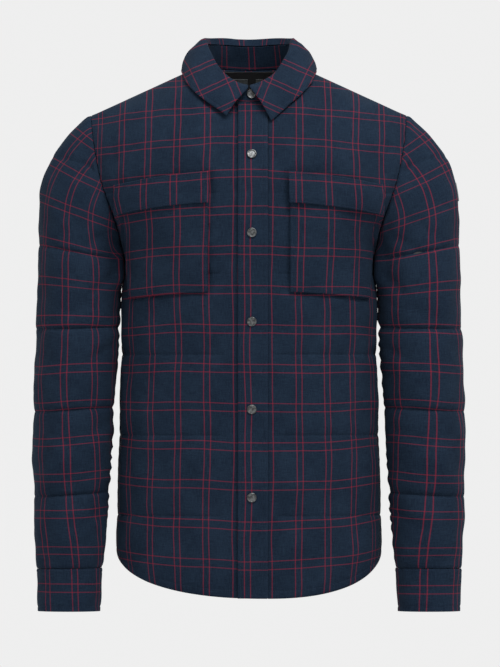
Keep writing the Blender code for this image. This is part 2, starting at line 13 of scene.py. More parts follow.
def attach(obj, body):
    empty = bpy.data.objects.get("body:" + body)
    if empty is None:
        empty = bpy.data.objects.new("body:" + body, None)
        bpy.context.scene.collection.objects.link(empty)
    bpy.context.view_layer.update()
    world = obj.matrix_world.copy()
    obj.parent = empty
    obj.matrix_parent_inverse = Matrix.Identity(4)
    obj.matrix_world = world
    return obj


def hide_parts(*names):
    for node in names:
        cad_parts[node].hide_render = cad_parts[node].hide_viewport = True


bl_info = {
    "name": "Padded check overshirt",
    "version": (1, 0, 0),
    "blender": (4, 5, 0),
    "location": "3D View > Sidebar > Overshirt",
    "description": "Makes the cloth, trims and studio of a padded check overshirt over its packed solids",
    "category": "Object",
}

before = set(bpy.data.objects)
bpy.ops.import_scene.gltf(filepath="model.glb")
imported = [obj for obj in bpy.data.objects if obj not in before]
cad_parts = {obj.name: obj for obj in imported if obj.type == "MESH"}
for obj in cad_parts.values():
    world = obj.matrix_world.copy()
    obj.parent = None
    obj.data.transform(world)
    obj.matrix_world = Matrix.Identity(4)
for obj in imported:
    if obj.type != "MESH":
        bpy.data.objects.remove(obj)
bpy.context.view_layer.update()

MM = 0.001

# Form of the garment in millimetres, as in the part's source
WALL = 4.0
SEAM_GAP = 0.3
THIN_WALL = 2.0
HEM_FRONT = -753.0
HEM_RISE = 66.0
QUILT_LOW = -634.0
QUILT_STEP = 116.5
QUILT_HIGH = QUILT_LOW + 4 * QUILT_STEP
MIDDLE = 8.0
SIDE_ROUND = 2.3
NECK_HALF = 72.0
NECK_SIDE_Z = 19.0
NECK_FRONT_DROP = 57.0
NECK_BACK_DROP = 5.0
NECK_FRONT_DEPTH = 74.0
NECK_BACK_DEPTH = 70.0
SHOULDER_X = 229.0
SHOULDER_Z = -53.0
UNDERARM_Z = -250.0
SHOULDER_ROLL = 140.0
NECK_SHARE = 0.4
PLACKET_LEFT = -16.0
PLACKET_RIGHT = 27.5
PLACKET_LIFT = 0.8
PLACKET_THICK = 3.0
SNAP_X = 4.0
SNAP_RADIUS = 7.0
SNAP_THICK = 2.4
SNAP_HEIGHTS = (-113.0, -225.0, -353.0, -480.0, -607.0)
STAND_FRONT = 24.0
STAND_BACK = 33.0
STAND_LEAN_FRONT = 4.0
STAND_LEAN_BACK = 11.0
STAND_LIFT = 1.0
ROLL_RISE = 9.0
COLLAR_LIFT = 7.0
LINING_OFF = 0.5
LINING_THICK = 1.0
LABEL_THICK = 1.0
LABEL_GAP = 0.9
SLEEVE_TAB_LIFT = -0.3
NECK_LABEL = {"left": -35.0, "right": -2.0, "low": -34.0, "high": -9.0}
SIZE_TAB = {"left": 10.0, "right": 21.0, "low": -26.0, "high": -9.0}
BACK_LINING = {"left": -62.0, "right": 62.0, "low": -106.0, "high": 0.0}
POCKET_LIFT = 4.6
FLAP_LIFT = POCKET_LIFT + THIN_WALL + 0.6
CUFF_SEAM = 5
CAP_SEAM_SHARE = 0.33
CAP_SEAM_END = math.radians(85)

# Shares of the collar's way from the stand's top: over its roll, then over its shoulder
ROLL_END = 0.12
FOLD_END = 0.24

# How far the sleeves' inner sides rest off the body's
REST_GAP = 2.2

# Grid sizes of the pieces. A tube's first and last columns lie on its inner seam
BODY_ROWS = 40
PLACKET_ROWS = 34
CHEST_ROWS = 1.45
SLEEVE_COLUMNS = 132
CUFF_COLUMNS = 120
STAND_COLUMNS = 200
FALL_COLUMNS = 260

# Where the check starts on each front, and the place about which its cross lines fan out over a sleeve's cap
CHECK_START = {1: -29.5, -1: 18.5}
CAP_PIVOT = {"x": -80.0, "z": -313.0}
CAP_REACH = 330.0

# Topstitches: the gap between two, their thread's radius and how far it stands off
STITCH_GAP = 1.0
THREAD_RADIUS = 0.3
THREAD_LIFT = 0.05

# The picture's height and the origin's place down it in pixels, and the millimetres to a pixel
PICTURE_TALL = 667
ORIGIN_DOWN = 78
PIXEL = 1.45

BODY = (
    {"level": -760.0, "half_width": 193.0, "front": 122.0, "back": 116.0},
    {"level": -634.0, "half_width": 191.0, "front": 123.0, "back": 118.0},
    {"level": -518.0, "half_width": 188.0, "front": 122.0, "back": 116.0},
    {"level": -402.0, "half_width": 185.0, "front": 122.0, "back": 115.0},
    {"level": -320.0, "half_width": 183.0, "front": 126.0, "back": 119.0},
    {"level": -250.0, "half_width": 184.0, "front": 130.0, "back": 124.0},
    {"level": -215.0, "half_width": 202.0, "front": 130.0, "back": 125.0},
    {"level": -170.0, "half_width": 232.0, "front": 129.0, "back": 125.0},
    {"level": -110.0, "half_width": 246.0, "front": 125.0, "back": 121.0},
    {"level": -50.0, "half_width": 252.0, "front": 120.0, "back": 115.0},
    {"level": 30.0, "half_width": 256.0, "front": 116.0, "back": 108.0},
)

ARMHOLE = (
    {"level": -250.0, "x": 184.0},
    {"level": -235.0, "x": 185.5},
    {"level": -215.0, "x": 190.5},
    {"level": -196.0, "x": 197.0},
    {"level": -170.0, "x": 207.0},
    {"level": -142.0, "x": 215.5},
    {"level": -110.0, "x": 222.0},
    {"level": -80.0, "x": 226.5},
    {"level": -53.0, "x": 229.0},
)

SLEEVE = (
    {"seam": 1, "outer_x": 303.0, "outer_z": -243.0, "inner_x": 188.0, "inner_z": -264.0,
     "y": 6.0, "depth": 72.0},
    {"seam": 2, "outer_x": 306.0, "outer_z": -364.0, "inner_x": 190.5, "inner_z": -362.0,
     "y": 3.0, "depth": 69.0},
    {"seam": 3, "outer_x": 310.5, "outer_z": -484.0, "inner_x": 198.5, "inner_z": -478.0,
     "y": -3.0, "depth": 64.0},
    {"seam": 4, "outer_x": 309.5, "outer_z": -607.0, "inner_x": 205.5, "inner_z": -601.0,
     "y": -11.0, "depth": 56.0},
    {"seam": 5, "outer_x": 306.5, "outer_z": -711.0, "inner_x": 214.0, "inner_z": -710.0,
     "y": -19.0, "depth": 47.0},
    {"seam": 6, "outer_x": 305.0, "outer_z": -773.0, "inner_x": 217.0, "inner_z": -773.0,
     "y": -22.0, "depth": 45.0},
)

COLLAR_EDGE = (
    {"turn": 0.0, "x": 31.0, "z": -60.0},
    {"turn": 22.0, "x": 53.0, "z": -43.0},
    {"turn": 45.0, "x": 76.0, "z": -24.0},
    {"turn": 68.0, "x": 92.0, "z": -6.0},
)
COLLAR_SIDE = {"turn": 90.0, "x": 97.0, "z": 13.0}
COLLAR_BACK = {"turn": 180.0, "x": 0.0, "z": 2.0}

POCKET = {"inner_x": 59.0, "outer_top_x": 180.0, "outer_low_x": 170.0,
          "inner_top": -150.0, "outer_top": -166.0, "inner_low": -310.0, "outer_low": -319.0}
FLAP = {"inner_x": 57.0, "outer_top_x": 191.0, "outer_low_x": 187.0,
        "inner_top": -137.0, "outer_top": -156.0, "inner_low": -182.0, "outer_low": -195.0}

# How far the check's cross lines drop towards a body panel's side, at each height
CHECK_DROP = (
    {"level": -720.0, "drop": -15.0},
    {"level": -640.0, "drop": -11.0},
    {"level": -560.0, "drop": -7.0},
    {"level": -460.0, "drop": -1.0},
    {"level": -360.0, "drop": 5.0},
    {"level": -260.0, "drop": 9.0},
    {"level": -150.0, "drop": 13.0},
    {"level": -60.0, "drop": 16.0},
)

# Where the check's cross lines lie at each height: they close up where the chest leans back to the shoulder
CHECK_RISE = (
    {"level": -760.0, "place": -396.8},
    {"level": -363.2, "place": 0.0},
    {"level": -306.3, "place": 56.9},
    {"level": -249.4, "place": 113.8},
    {"level": -193.3, "place": 170.7},
    {"level": -140.7, "place": 227.6},
    {"level": -91.6, "place": 284.5},
    {"level": -47.0, "place": 341.4},
    {"level": 0.0, "place": 406.0},
    {"level": 30.0, "place": 450.0},
)

# How far down each sleeve the check's cross lines sit at each height, as quilting has drawn the cloth up
SLEEVE_DRAW = (
    {"level": -770.0, "right": 0.0, "left": 3.0},
    {"level": -735.0, "right": 0.0, "left": 3.0},
    {"level": -684.0, "right": 4.5, "left": 6.0},
    {"level": -577.0, "right": 5.0, "left": 7.0},
    {"level": -470.0, "right": 8.5, "left": 8.0},
    {"level": -410.0, "right": 8.5, "left": 8.0},
    {"level": -350.0, "right": -8.5, "left": 3.0},
    {"level": -297.0, "right": -10.0, "left": -4.0},
    {"level": -247.0, "right": -10.0, "left": -7.0},
    {"level": -190.0, "right": -18.0, "left": -12.0},
    {"level": -60.0, "right": -18.0, "left": -9.0},
)

# Soft creases on a front, a back and a sleeve. Across is the arc from the middle line, tilt is in degrees
FRONT_CREASES = (
    {"across": 208.0, "z": -212.0, "tilt": 28.0, "long": 46.0, "wide": 9.0, "high": -2.4},
    {"across": 196.0, "z": -236.0, "tilt": 18.0, "long": 40.0, "wide": 7.0, "high": 1.7},
    {"across": 214.0, "z": -262.0, "tilt": -14.0, "long": 44.0, "wide": 8.0, "high": -1.9},
    {"across": 226.0, "z": -330.0, "tilt": 74.0, "long": 58.0, "wide": 10.0, "high": 1.8},
    {"across": 236.0, "z": -400.0, "tilt": -12.0, "long": 34.0, "wide": 7.0, "high": -2.6},
    {"across": 206.0, "z": -452.0, "tilt": 80.0, "long": 70.0, "wide": 13.0, "high": 1.5},
    {"across": 232.0, "z": -556.0, "tilt": 86.0, "long": 62.0, "wide": 10.0, "high": -1.8},
    {"across": 120.0, "z": -598.0, "tilt": 64.0, "long": 60.0, "wide": 16.0, "high": -1.3},
    {"across": 62.0, "z": -612.0, "tilt": 32.0, "long": 42.0, "wide": 12.0, "high": -1.3},
    {"across": 160.0, "z": -690.0, "tilt": 70.0, "long": 44.0, "wide": 14.0, "high": 1.4},
    {"across": 66.0, "z": -118.0, "tilt": -58.0, "long": 50.0, "wide": 15.0, "high": 1.2},
    {"across": 150.0, "z": -84.0, "tilt": -20.0, "long": 62.0, "wide": 13.0, "high": -1.1},
    {"across": 204.0, "z": -128.0, "tilt": 66.0, "long": 42.0, "wide": 9.0, "high": -1.6},
)
BACK_CREASES = (
    {"across": 206.0, "z": -206.0, "tilt": 30.0, "long": 52.0, "wide": 10.0, "high": -2.3},
    {"across": -204.0, "z": -214.0, "tilt": -26.0, "long": 46.0, "wide": 9.0, "high": -2.5},
    {"across": 190.0, "z": -244.0, "tilt": 16.0, "long": 44.0, "wide": 8.0, "high": 1.6},
    {"across": -192.0, "z": -250.0, "tilt": -20.0, "long": 38.0, "wide": 8.0, "high": 1.7},
    {"across": 214.0, "z": -398.0, "tilt": -8.0, "long": 40.0, "wide": 8.0, "high": -2.0},
    {"across": -218.0, "z": -404.0, "tilt": 10.0, "long": 44.0, "wide": 8.0, "high": -2.2},
    {"across": 88.0, "z": -420.0, "tilt": 82.0, "long": 84.0, "wide": 17.0, "high": 1.5},
    {"across": -74.0, "z": -470.0, "tilt": 96.0, "long": 90.0, "wide": 16.0, "high": 1.4},
    {"across": 150.0, "z": -600.0, "tilt": 74.0, "long": 70.0, "wide": 15.0, "high": -1.6},
    {"across": -146.0, "z": -560.0, "tilt": 104.0, "long": 66.0, "wide": 14.0, "high": -1.5},
    {"across": 20.0, "z": -655.0, "tilt": 88.0, "long": 56.0, "wide": 18.0, "high": 1.2},
    {"across": 60.0, "z": -110.0, "tilt": 62.0, "long": 60.0, "wide": 16.0, "high": -1.2},
    {"across": -66.0, "z": -116.0, "tilt": 118.0, "long": 56.0, "wide": 15.0, "high": -1.1},
)
SLEEVE_CREASES = (
    {"across": 96.0, "z": -214.0, "tilt": 30.0, "long": 36.0, "wide": 9.0, "high": -2.2},
    {"across": 128.0, "z": -236.0, "tilt": 24.0, "long": 34.0, "wide": 8.0, "high": -2.6},
    {"across": 140.0, "z": -296.0, "tilt": 36.0, "long": 36.0, "wide": 8.0, "high": -2.4},
    {"across": 118.0, "z": -330.0, "tilt": 16.0, "long": 38.0, "wide": 9.0, "high": -1.8},
    {"across": 134.0, "z": -398.0, "tilt": 28.0, "long": 34.0, "wide": 8.0, "high": -2.3},
    {"across": 96.0, "z": -432.0, "tilt": -16.0, "long": 40.0, "wide": 11.0, "high": 1.5},
    {"across": 120.0, "z": -512.0, "tilt": 22.0, "long": 38.0, "wide": 9.0, "high": -2.2},
    {"across": 66.0, "z": -548.0, "tilt": 70.0, "long": 50.0, "wide": 12.0, "high": 1.3},
    {"across": 104.0, "z": -640.0, "tilt": 24.0, "long": 34.0, "wide": 8.0, "high": -2.0},
    {"across": 48.0, "z": -668.0, "tilt": 78.0, "long": 34.0, "wide": 10.0, "high": -1.5},
    {"across": -70.0, "z": -280.0, "tilt": -28.0, "long": 44.0, "wide": 10.0, "high": -2.2},
    {"across": -104.0, "z": -352.0, "tilt": -20.0, "long": 40.0, "wide": 9.0, "high": -2.4},
    {"across": -60.0, "z": -430.0, "tilt": 12.0, "long": 48.0, "wide": 12.0, "high": 1.6},
    {"across": -92.0, "z": -500.0, "tilt": -26.0, "long": 40.0, "wide": 9.0, "high": -2.3},
    {"across": -58.0, "z": -640.0, "tilt": -70.0, "long": 38.0, "wide": 10.0, "high": -1.6},
)
COLLAR_CREASES = (
    {"across": 55.0, "z": 34.0, "tilt": 12.0, "long": 22.0, "wide": 5.0, "high": -0.9},
    {"across": 92.0, "z": 26.0, "tilt": 60.0, "long": 18.0, "wide": 6.0, "high": 0.8},
    {"across": 330.0, "z": 30.0, "tilt": -30.0, "long": 20.0, "wide": 5.0, "high": -0.8},
    {"across": 210.0, "z": 30.0, "tilt": 80.0, "long": 20.0, "wide": 7.0, "high": -0.8},
)


def mix(a, b, share):
    return a + (b - a) * share


def ease(share):
    share = np.clip(share, 0.0, 1.0)
    return share * share * (3.0 - 2.0 * share)


def close_to(at, place, width, power=2):
    """How close a value is to a place: one on it, and near nought a few widths away."""
    return np.exp(-np.abs((at - place) / width) ** power)


def read(table, key, column, at):
    """A column of a table at keys between its rows, on a smooth curve through them."""
    keys = np.array([row[key] for row in table])
    values = np.array([row[column] for row in table])
    at = np.clip(np.asarray(at, float), keys[0], keys[-1])
    i = np.clip(np.searchsorted(keys, at, side="right") - 1, 0, len(keys) - 2)
    low = np.maximum(np.arange(len(keys)) - 1, 0)
    high = np.minimum(np.arange(len(keys)) + 1, len(keys) - 1)
    slope = (values[high] - values[low]) / (keys[high] - keys[low])
    span = keys[i + 1] - keys[i]
    t = (at - keys[i]) / span
    t2, t3 = t * t, t ** 3
    return ((2 * t3 - 3 * t2 + 1) * values[i] + (t3 - 2 * t2 + t) * slope[i] * span
            + (3 * t2 - 2 * t3) * values[i + 1] + (t3 - t2) * slope[i + 1] * span)


def stack(x, y, z):
    return np.stack(np.broadcast_arrays(x, y, z), axis=-1)


def top_height(x, back):
    """Height of the neckline and shoulder seam over a place across the body."""
    x = np.abs(x)
    shoulder = NECK_SIDE_Z + (x - NECK_HALF) * (SHOULDER_Z - NECK_SIDE_Z) / (SHOULDER_X - NECK_HALF)
    across = np.clip(1.0 - (x / NECK_HALF) ** 2, 0.0, 1.0)
    drop = NECK_BACK_DROP * across if back else NECK_FRONT_DROP * across ** 0.75
    return np.where(x >= NECK_HALF, shoulder, NECK_SIDE_Z - drop)


def depth(x, z, back):
    """How far the cloth stands in front of or behind the side seams' plane."""
    x = np.abs(x)
    side = np.clip(x / read(BODY, "level", "half_width", z), 0.0, 1.0)
    reach = read(BODY, "level", "back" if back else "front", z)
    body = reach * (1.0 - side ** SIDE_ROUND) ** (1.0 / SIDE_ROUND)
    neck = np.sqrt(np.clip(1.0 - (x / NECK_HALF) ** 2, 0.0, 1.0))
    neck = neck * (NECK_BACK_DEPTH if back else NECK_FRONT_DEPTH)
    below = np.clip((top_height(x, back) - z) / SHOULDER_ROLL, 0.0, 1.0)
    roll = (1.0 - (1.0 - below) ** 2) ** mix(0.95, 0.5, ease(x / (1.3 * NECK_HALF)))
    return neck + (body - neck) * roll


def edge_x(z):
    """Half the width of a body panel: its side seam, and over the underarm its armhole."""
    return np.where(z > UNDERARM_Z, read(ARMHOLE, "level", "x", z), read(BODY, "level", "half_width", z))


def body_point(side, inner_x, u, level, back):
    """A body panel's cloth at u, 0 at its inner edge and 1 at its side, and at a nominal height."""
    sign = np.where(u < 0, -side, side)
    u = np.abs(u)
    low_x = np.sin(u * math.pi / 2) ** (2 / SIDE_ROUND)
    top_x = np.where(u < NECK_SHARE, NECK_HALF * np.sin(np.minimum(u / NECK_SHARE, 1.0) * math.pi / 2),
                     mix(NECK_HALF, SHOULDER_X, (u - NECK_SHARE) / (1 - NECK_SHARE)))
    top_x = inner_x + top_x * (SHOULDER_X - inner_x) / SHOULDER_X
    rise = np.clip((level - QUILT_HIGH) / -QUILT_HIGH, 0.0, 1.0)
    low = np.minimum(level, QUILT_HIGH)
    drop = np.clip((QUILT_LOW - level) / (QUILT_LOW - HEM_FRONT), 0.0, 1.0)
    hem = mix(QUILT_LOW, HEM_FRONT + HEM_RISE * (1.0 - np.cos(u * math.pi / 2)), drop)
    z = np.where(level > QUILT_HIGH, mix(QUILT_HIGH, top_height(top_x, back), rise), low)
    z = np.where(level < QUILT_LOW, hem, z)
    edge_z = np.where(level < QUILT_LOW, hem, mix(low, SHOULDER_Z, rise))
    edge = edge_x(edge_z)
    x = inner_x + (edge - inner_x) * low_x
    over = inner_x + (top_x - inner_x) * (edge - inner_x) / (SHOULDER_X - inner_x)
    x = mix(x, over, ease(rise))
    y = depth(x, z, back)
    return stack(sign * x, MIDDLE + (y if back else -y), z)


def armhole_point(side, turn):
    """The armhole seam: turn is 0 at the shoulder, a quarter turn at the front, a half under the arm."""
    z = SHOULDER_Z + (UNDERARM_Z - SHOULDER_Z) * (1.0 - np.cos(turn)) / 2
    x = read(ARMHOLE, "level", "x", z)
    y = np.where(np.sin(turn) < 0, -depth(x, z, True), depth(x, z, False))
    return stack(side * x, MIDDLE - y, z)


def ring_point(side, turn, seam):
    """A sleeve section's point: the ellipse through its outer and inner side at a seam number."""
    out = (1.0 + np.cos(turn)) / 2
    x = mix(read(SLEEVE, "seam", "inner_x", seam), read(SLEEVE, "seam", "outer_x", seam), out)
    z = mix(read(SLEEVE, "seam", "inner_z", seam), read(SLEEVE, "seam", "outer_z", seam), out)
    y = read(SLEEVE, "seam", "y", seam) - read(SLEEVE, "seam", "depth", seam) * np.sin(turn)
    return stack(side * x, y, z)


def sleeve_point(side, turn, down):
    """The sleeve's cloth: down is 0 at the armhole, then counts its quilting seams."""
    ring = ring_point(side, turn, np.maximum(down, 1.0))
    start = armhole_point(side, turn)
    end = ring_point(side, turn, np.ones_like(down))
    fullness = 1.0 + 2.45 * ((1.0 + np.cos(turn)) / 2) ** 1.2
    share = np.clip(down, 0.0, 1.0)
    out = 1.0 - (1.0 - share) ** fullness
    cap = stack(mix(start[..., 0], end[..., 0], out), mix(start[..., 1], end[..., 1], share),
                mix(start[..., 2], end[..., 2], share))
    return np.where((down >= 1.0)[..., None], ring, cap)


def neck_point(turn):
    """The neck seam: turn in degrees is 0 at the centre front and 180 at the centre back."""
    angle = np.radians(turn)
    back = np.cos(angle) < 0
    x = NECK_HALF * np.sin(angle)
    reach = np.where(back, NECK_BACK_DEPTH, NECK_FRONT_DEPTH)
    z = np.where(back, top_height(x, True), top_height(x, False))
    return stack(x, MIDDLE - reach * np.cos(angle), z)


def stand_point(turn, up):
    """The collar stand: up is 0 at the neck seam and 1 under the collar."""
    base = neck_point(turn)
    around = np.abs(((turn + 180) % 360) - 180) / 180
    tall = mix(STAND_FRONT, STAND_BACK, ease(2.0 * around))
    lean = mix(STAND_LEAN_FRONT, STAND_LEAN_BACK, ease(2.0 * around))
    inward = stack(-base[..., 0], MIDDLE - base[..., 1], 0.0)
    inward = inward / np.linalg.norm(inward, axis=-1, keepdims=True)
    return base + inward * (lean * up)[..., None] + stack(0.0, 0.0, tall * up + STAND_LIFT)


def collar_edge(turn):
    """The outer edge of the turned-down collar, resting just over the body."""
    around = np.abs(((turn + 180) % 360) - 180)
    last = COLLAR_EDGE[-1]
    x = read(COLLAR_EDGE, "turn", "x", around)
    z = read(COLLAR_EDGE, "turn", "z", around)
    leaf = stack(x, MIDDLE - depth(x, z, False) - COLLAR_LIFT, z)
    start_y = MIDDLE - depth(last["x"], last["z"], False) - COLLAR_LIFT
    share = np.clip((around - last["turn"]) / (COLLAR_SIDE["turn"] - last["turn"]), 0.0, 1.0)
    flank = stack(mix(last["x"], COLLAR_SIDE["x"], np.sin(share * math.pi / 2)),
                  mix(start_y, MIDDLE - 6.0, share), mix(last["z"], COLLAR_SIDE["z"], share))
    share = np.clip((around - 90.0) / 90.0, 0.0, 1.0)
    angle = share * math.pi / 2
    x = COLLAR_SIDE["x"] * np.cos(angle)
    z = mix(COLLAR_SIDE["z"], COLLAR_BACK["z"], ease(share))
    behind = stack(x, mix(MIDDLE - 6.0, MIDDLE + depth(x, z, True) + COLLAR_LIFT, np.sin(angle) ** 0.8), z)
    point = np.where((around > last["turn"])[..., None], flank, leaf)
    point = np.where((around > COLLAR_SIDE["turn"])[..., None], behind, point)
    point[..., 0] *= np.where(turn <= 180, 1.0, -1.0)
    return point


def over_body(point, lift):
    """Places moved up, or out, the shorter way, until they are clear of the body's cloth by a lift."""

    x = point[..., 0]
    behind = point[..., 1] > MIDDLE
    top = np.where(behind, top_height(x, True), top_height(x, False))

    def short_at(z):
        gap = np.where(behind, depth(x, z, True), depth(x, z, False))
        return np.where(z < top + lift, lift + gap - np.abs(point[..., 1] - MIDDLE), 0.0)

    out = np.maximum(short_at(point[..., 2]), 0.0)
    up = np.zeros_like(out)
    for _ in range(60):
        still = (up < out) & (short_at(point[..., 2] + up) > 0.0)
        up = np.where(still, up + 0.5, up)
    raised = (up < out) & (out > 0)
    moved = point.copy()
    moved[..., 2] += np.where(raised, up, 0.0)
    moved[..., 1] += np.where(raised, 0.0, np.where(behind, out, -out))
    return moved


def collar_point(turn, out):
    """The turned-down collar: out is 0 on the stand's top, then over the roll to its outer edge at 1."""
    top = stand_point(turn, np.ones_like(turn)) + np.array([0.0, 0.0, 2.5 * SEAM_GAP])
    edge = collar_edge(turn)
    away = stack(top[..., 0], top[..., 1] - MIDDLE, 0.0)
    away = away / np.linalg.norm(away, axis=-1, keepdims=True)
    rise = ROLL_RISE * mix(0.55, 1.0, ease(1.0 - np.abs(turn - 180.0) / 180.0))
    crest = top + away * 3.0 + stack(0.0, 0.0, rise)
    shoulder = crest + away * 5.0 - np.array([0.0, 0.0, 2.5])
    first = mix(top, crest, np.sin(np.clip(out / ROLL_END, 0.0, 1.0) * math.pi / 2)[..., None])
    second = mix(crest, shoulder, np.clip((out - ROLL_END) / (FOLD_END - ROLL_END), 0.0, 1.0)[..., None])
    share = np.clip((out - FOLD_END) / (1.0 - FOLD_END), 0.0, 1.0)
    bulge = 5.0 * np.sin(share * math.pi)
    fall = mix(shoulder, edge, share[..., None]) + away * bulge[..., None] + stack(0.0, 0.0, 0.4 * bulge)
    point = np.where((out < FOLD_END)[..., None], second, over_body(fall, COLLAR_LIFT))
    return np.where((out < ROLL_END)[..., None], first, point)


def placket_point(across, level):
    """The cloth under the placket: across runs from its free edge to its seam, at a nominal height."""
    x = mix(PLACKET_LEFT, PLACKET_RIGHT, across)
    low = np.minimum(level, QUILT_HIGH)
    over = mix(QUILT_HIGH, top_height(x, False), (level - QUILT_HIGH) / -QUILT_HIGH)
    z = np.where(level > QUILT_HIGH, over, low)
    return stack(x, MIDDLE - depth(x, z, False), z)


def body_side(y, z):
    """Half the body's width at a depth and a height."""
    reach = np.where(y > MIDDLE, read(BODY, "level", "back", z), read(BODY, "level", "front", z))
    share = np.clip(np.abs(y - MIDDLE) / reach, 0.0, 1.0)
    return read(BODY, "level", "half_width", z) * (1.0 - share ** SIDE_ROUND) ** (1.0 / SIDE_ROUND)


def patch_point(side, patch, across, down):
    """A pocket's or flap's place on the front: across from its inner edge, down from its top."""
    outer = mix(patch["outer_top_x"], patch["outer_low_x"], down)
    x = mix(patch["inner_x"], outer, across)
    top = mix(patch["inner_top"], patch["outer_top"], across ** 1.5)
    low = mix(patch["inner_low"], patch["outer_low"], across ** 1.5)
    z = mix(top, low, down)
    return stack(side * x, MIDDLE - depth(x, z, False), z)


def beside_patches(x, z):
    """Where the front's cloth is drawn down beside a pocket's and a flap's sewn edges, from 0 to 1."""
    x = np.abs(x)
    drawn = np.zeros(np.broadcast(x, z).shape)
    for patch in (POCKET, FLAP):
        inner = patch["inner_x"]
        outer = patch["outer_low_x"]
        across = np.clip((x - inner) / (outer - inner), 0.0, 1.0) ** 1.5
        top = mix(patch["inner_top"], patch["outer_top"], across)
        low = mix(patch["inner_low"], patch["outer_low"], across)
        upright = close_to(x, inner - 1.5, 2.8) * ease((z - low + 3.0) / 3.0) * ease((top + 2.0 - z) / 4.0)
        below = close_to(z, low - 1.5, 2.8) * ease((x - inner + 3.0) / 3.0) * ease((outer + 2.0 - x) / 4.0)
        drawn = np.maximum(drawn, np.maximum(upright, below))
    return drawn


def spine(base):
    """A line up the body's middle, lower behind the chest, that the cloth's normals turn away from."""
    z = base[..., 2]
    return stack(0.0, MIDDLE, np.where(z > QUILT_HIGH, z - 40.0, z))


def arc_along(points, axis):
    """The distance run along a grid of points, from its first row or column."""
    step = np.linalg.norm(np.diff(points, axis=axis), axis=-1)
    pad = [(0, 0), (0, 0)]
    pad[axis] = (1, 0)
    return np.pad(np.cumsum(step, axis=axis), pad)


def to_edges(across, along):
    """The distance from each place of a piece to its nearest edge."""
    sides = np.minimum(across, across[:, -1:] - across)
    return np.minimum(sides, np.minimum(along, along[-1:] - along))


def normals_of(points, closed, centre):
    """Unit normals of a grid of points, turned away from a centre line."""
    if closed:
        wide = np.concatenate([points[:, -2:-1], points, points[:, 1:2]], axis=1)
        across = (wide[:, 2:] - wide[:, :-2]) / 2
    else:
        across = np.gradient(points, axis=1)
    along = np.gradient(points, axis=0)
    normal = np.cross(across, along)
    length = np.linalg.norm(normal, axis=-1, keepdims=True)
    normal = normal / np.maximum(length, 1e-9)
    facing = np.sum(normal * (points - centre)) > 0
    return normal if facing else -normal


def creases(across, z, table):
    """The height of soft troughs and ridges, each with its own place, tilt, length and width."""
    height = np.zeros(np.broadcast(across, z).shape)
    for row in table:
        tilt = math.radians(row["tilt"])
        along = (across - row["across"]) * math.cos(tilt) + (z - row["z"]) * math.sin(tilt)
        over = (z - row["z"]) * math.cos(tilt) - (across - row["across"]) * math.sin(tilt)
        over = over + 0.12 * along * np.sin(along / row["long"])
        height += row["high"] * np.exp(-(over / row["wide"]) ** 2 - (along / row["long"]) ** 4)
    return height


def unevenness(across, z, seed):
    """The gentle unevenness of soft wadding under cloth, from a few long waves."""
    height = 0.0
    waves = ((97.0, 31.0), (61.0, 112.0), (43.0, 71.0), (33.0, 161.0), (24.0, 11.0))
    longest = waves[0][0]
    for number, (length, turn) in enumerate(waves):
        angle = math.radians(turn + 17.0 * seed)
        phase = 1.7 * seed + 2.3 * number
        run = (across * math.cos(angle) + z * math.sin(angle)) * 2 * math.pi / length
        height += np.sin(run + phase) * length / longest
    return height


def joined(lift):
    """A tube's heights, made the same on both sides of its seam, so that the seam closes."""
    seam = (lift[:, :1] + lift[:, -1:]) / 2
    return np.concatenate([seam, lift[:, 1:-1], seam], axis=1)


def crown(share):
    """A quilted channel's cross-section: nought on its seams and one at its middle."""
    return np.abs(np.sin(share * math.pi)) ** 0.62


def sleeve_loft(puff, turn, down):
    """A sleeve's padding, drawn straighter along its outer and inner sides than front and back."""
    side = np.cos(turn) ** 2
    return puff * (1.0 - 0.62 * side) + 1.6 * side * ease(down / 0.5)


def quilt_levels(low, high, count):
    """Rows of one quilted channel, closer together at its seams."""
    share = np.linspace(0.0, 1.0, count + 1)[:-1]
    share = share - 0.095 * np.sin(2 * math.pi * share)
    return low + (high - low) * share


def body_levels(count):
    """Nominal heights of a body piece's rows, from the hem to the shoulder."""
    starts = [QUILT_LOW + QUILT_STEP * i for i in range(5)]
    levels = [quilt_levels(HEM_FRONT, QUILT_LOW, count)]
    levels += [quilt_levels(low, high, count) for low, high in zip(starts, starts[1:])]
    levels.append(QUILT_HIGH * (1.0 - np.linspace(0.0, 1.0, int(CHEST_ROWS * count) + 1)))
    return np.concatenate(levels)


class Form:
    """A cloth piece's grid: its drafted and outer points, their normals and its pattern places."""

    def __init__(self, base, outer, normal, u, v):
        self.base = base
        self.outer = outer
        self.normal = normal
        self.u = u
        self.v = v

    def cut(self):
        """The width, length and area in metres of the cloth that this piece was cut from."""
        base = self.base
        width = arc_along(base, 1)[:, -1].max() * MM
        length = arc_along(base, 0)[-1].max() * MM
        cells = np.cross(np.diff(base[:-1], axis=1), np.diff(base[:, :-1], axis=0))
        area = float(np.linalg.norm(cells, axis=-1).sum()) * MM * MM
        return width, length, min(area, width * length)


forms = {}


def object_from(mesh, name, finishes, sharp=None):
    """A smooth object in the scene, with a mesh's shape and with edges sharper than an angle left sharp."""
    data = bpy.data.meshes.new(name)
    mesh.to_mesh(data)
    mesh.free()
    data.shade_smooth()
    if sharp is not None:
        data.set_sharp_from_angle(angle=math.radians(sharp))
    for finish in finishes:
        data.materials.append(finish)
    made = bpy.data.objects.new(name, data)
    bpy.context.scene.collection.objects.link(made)
    return made


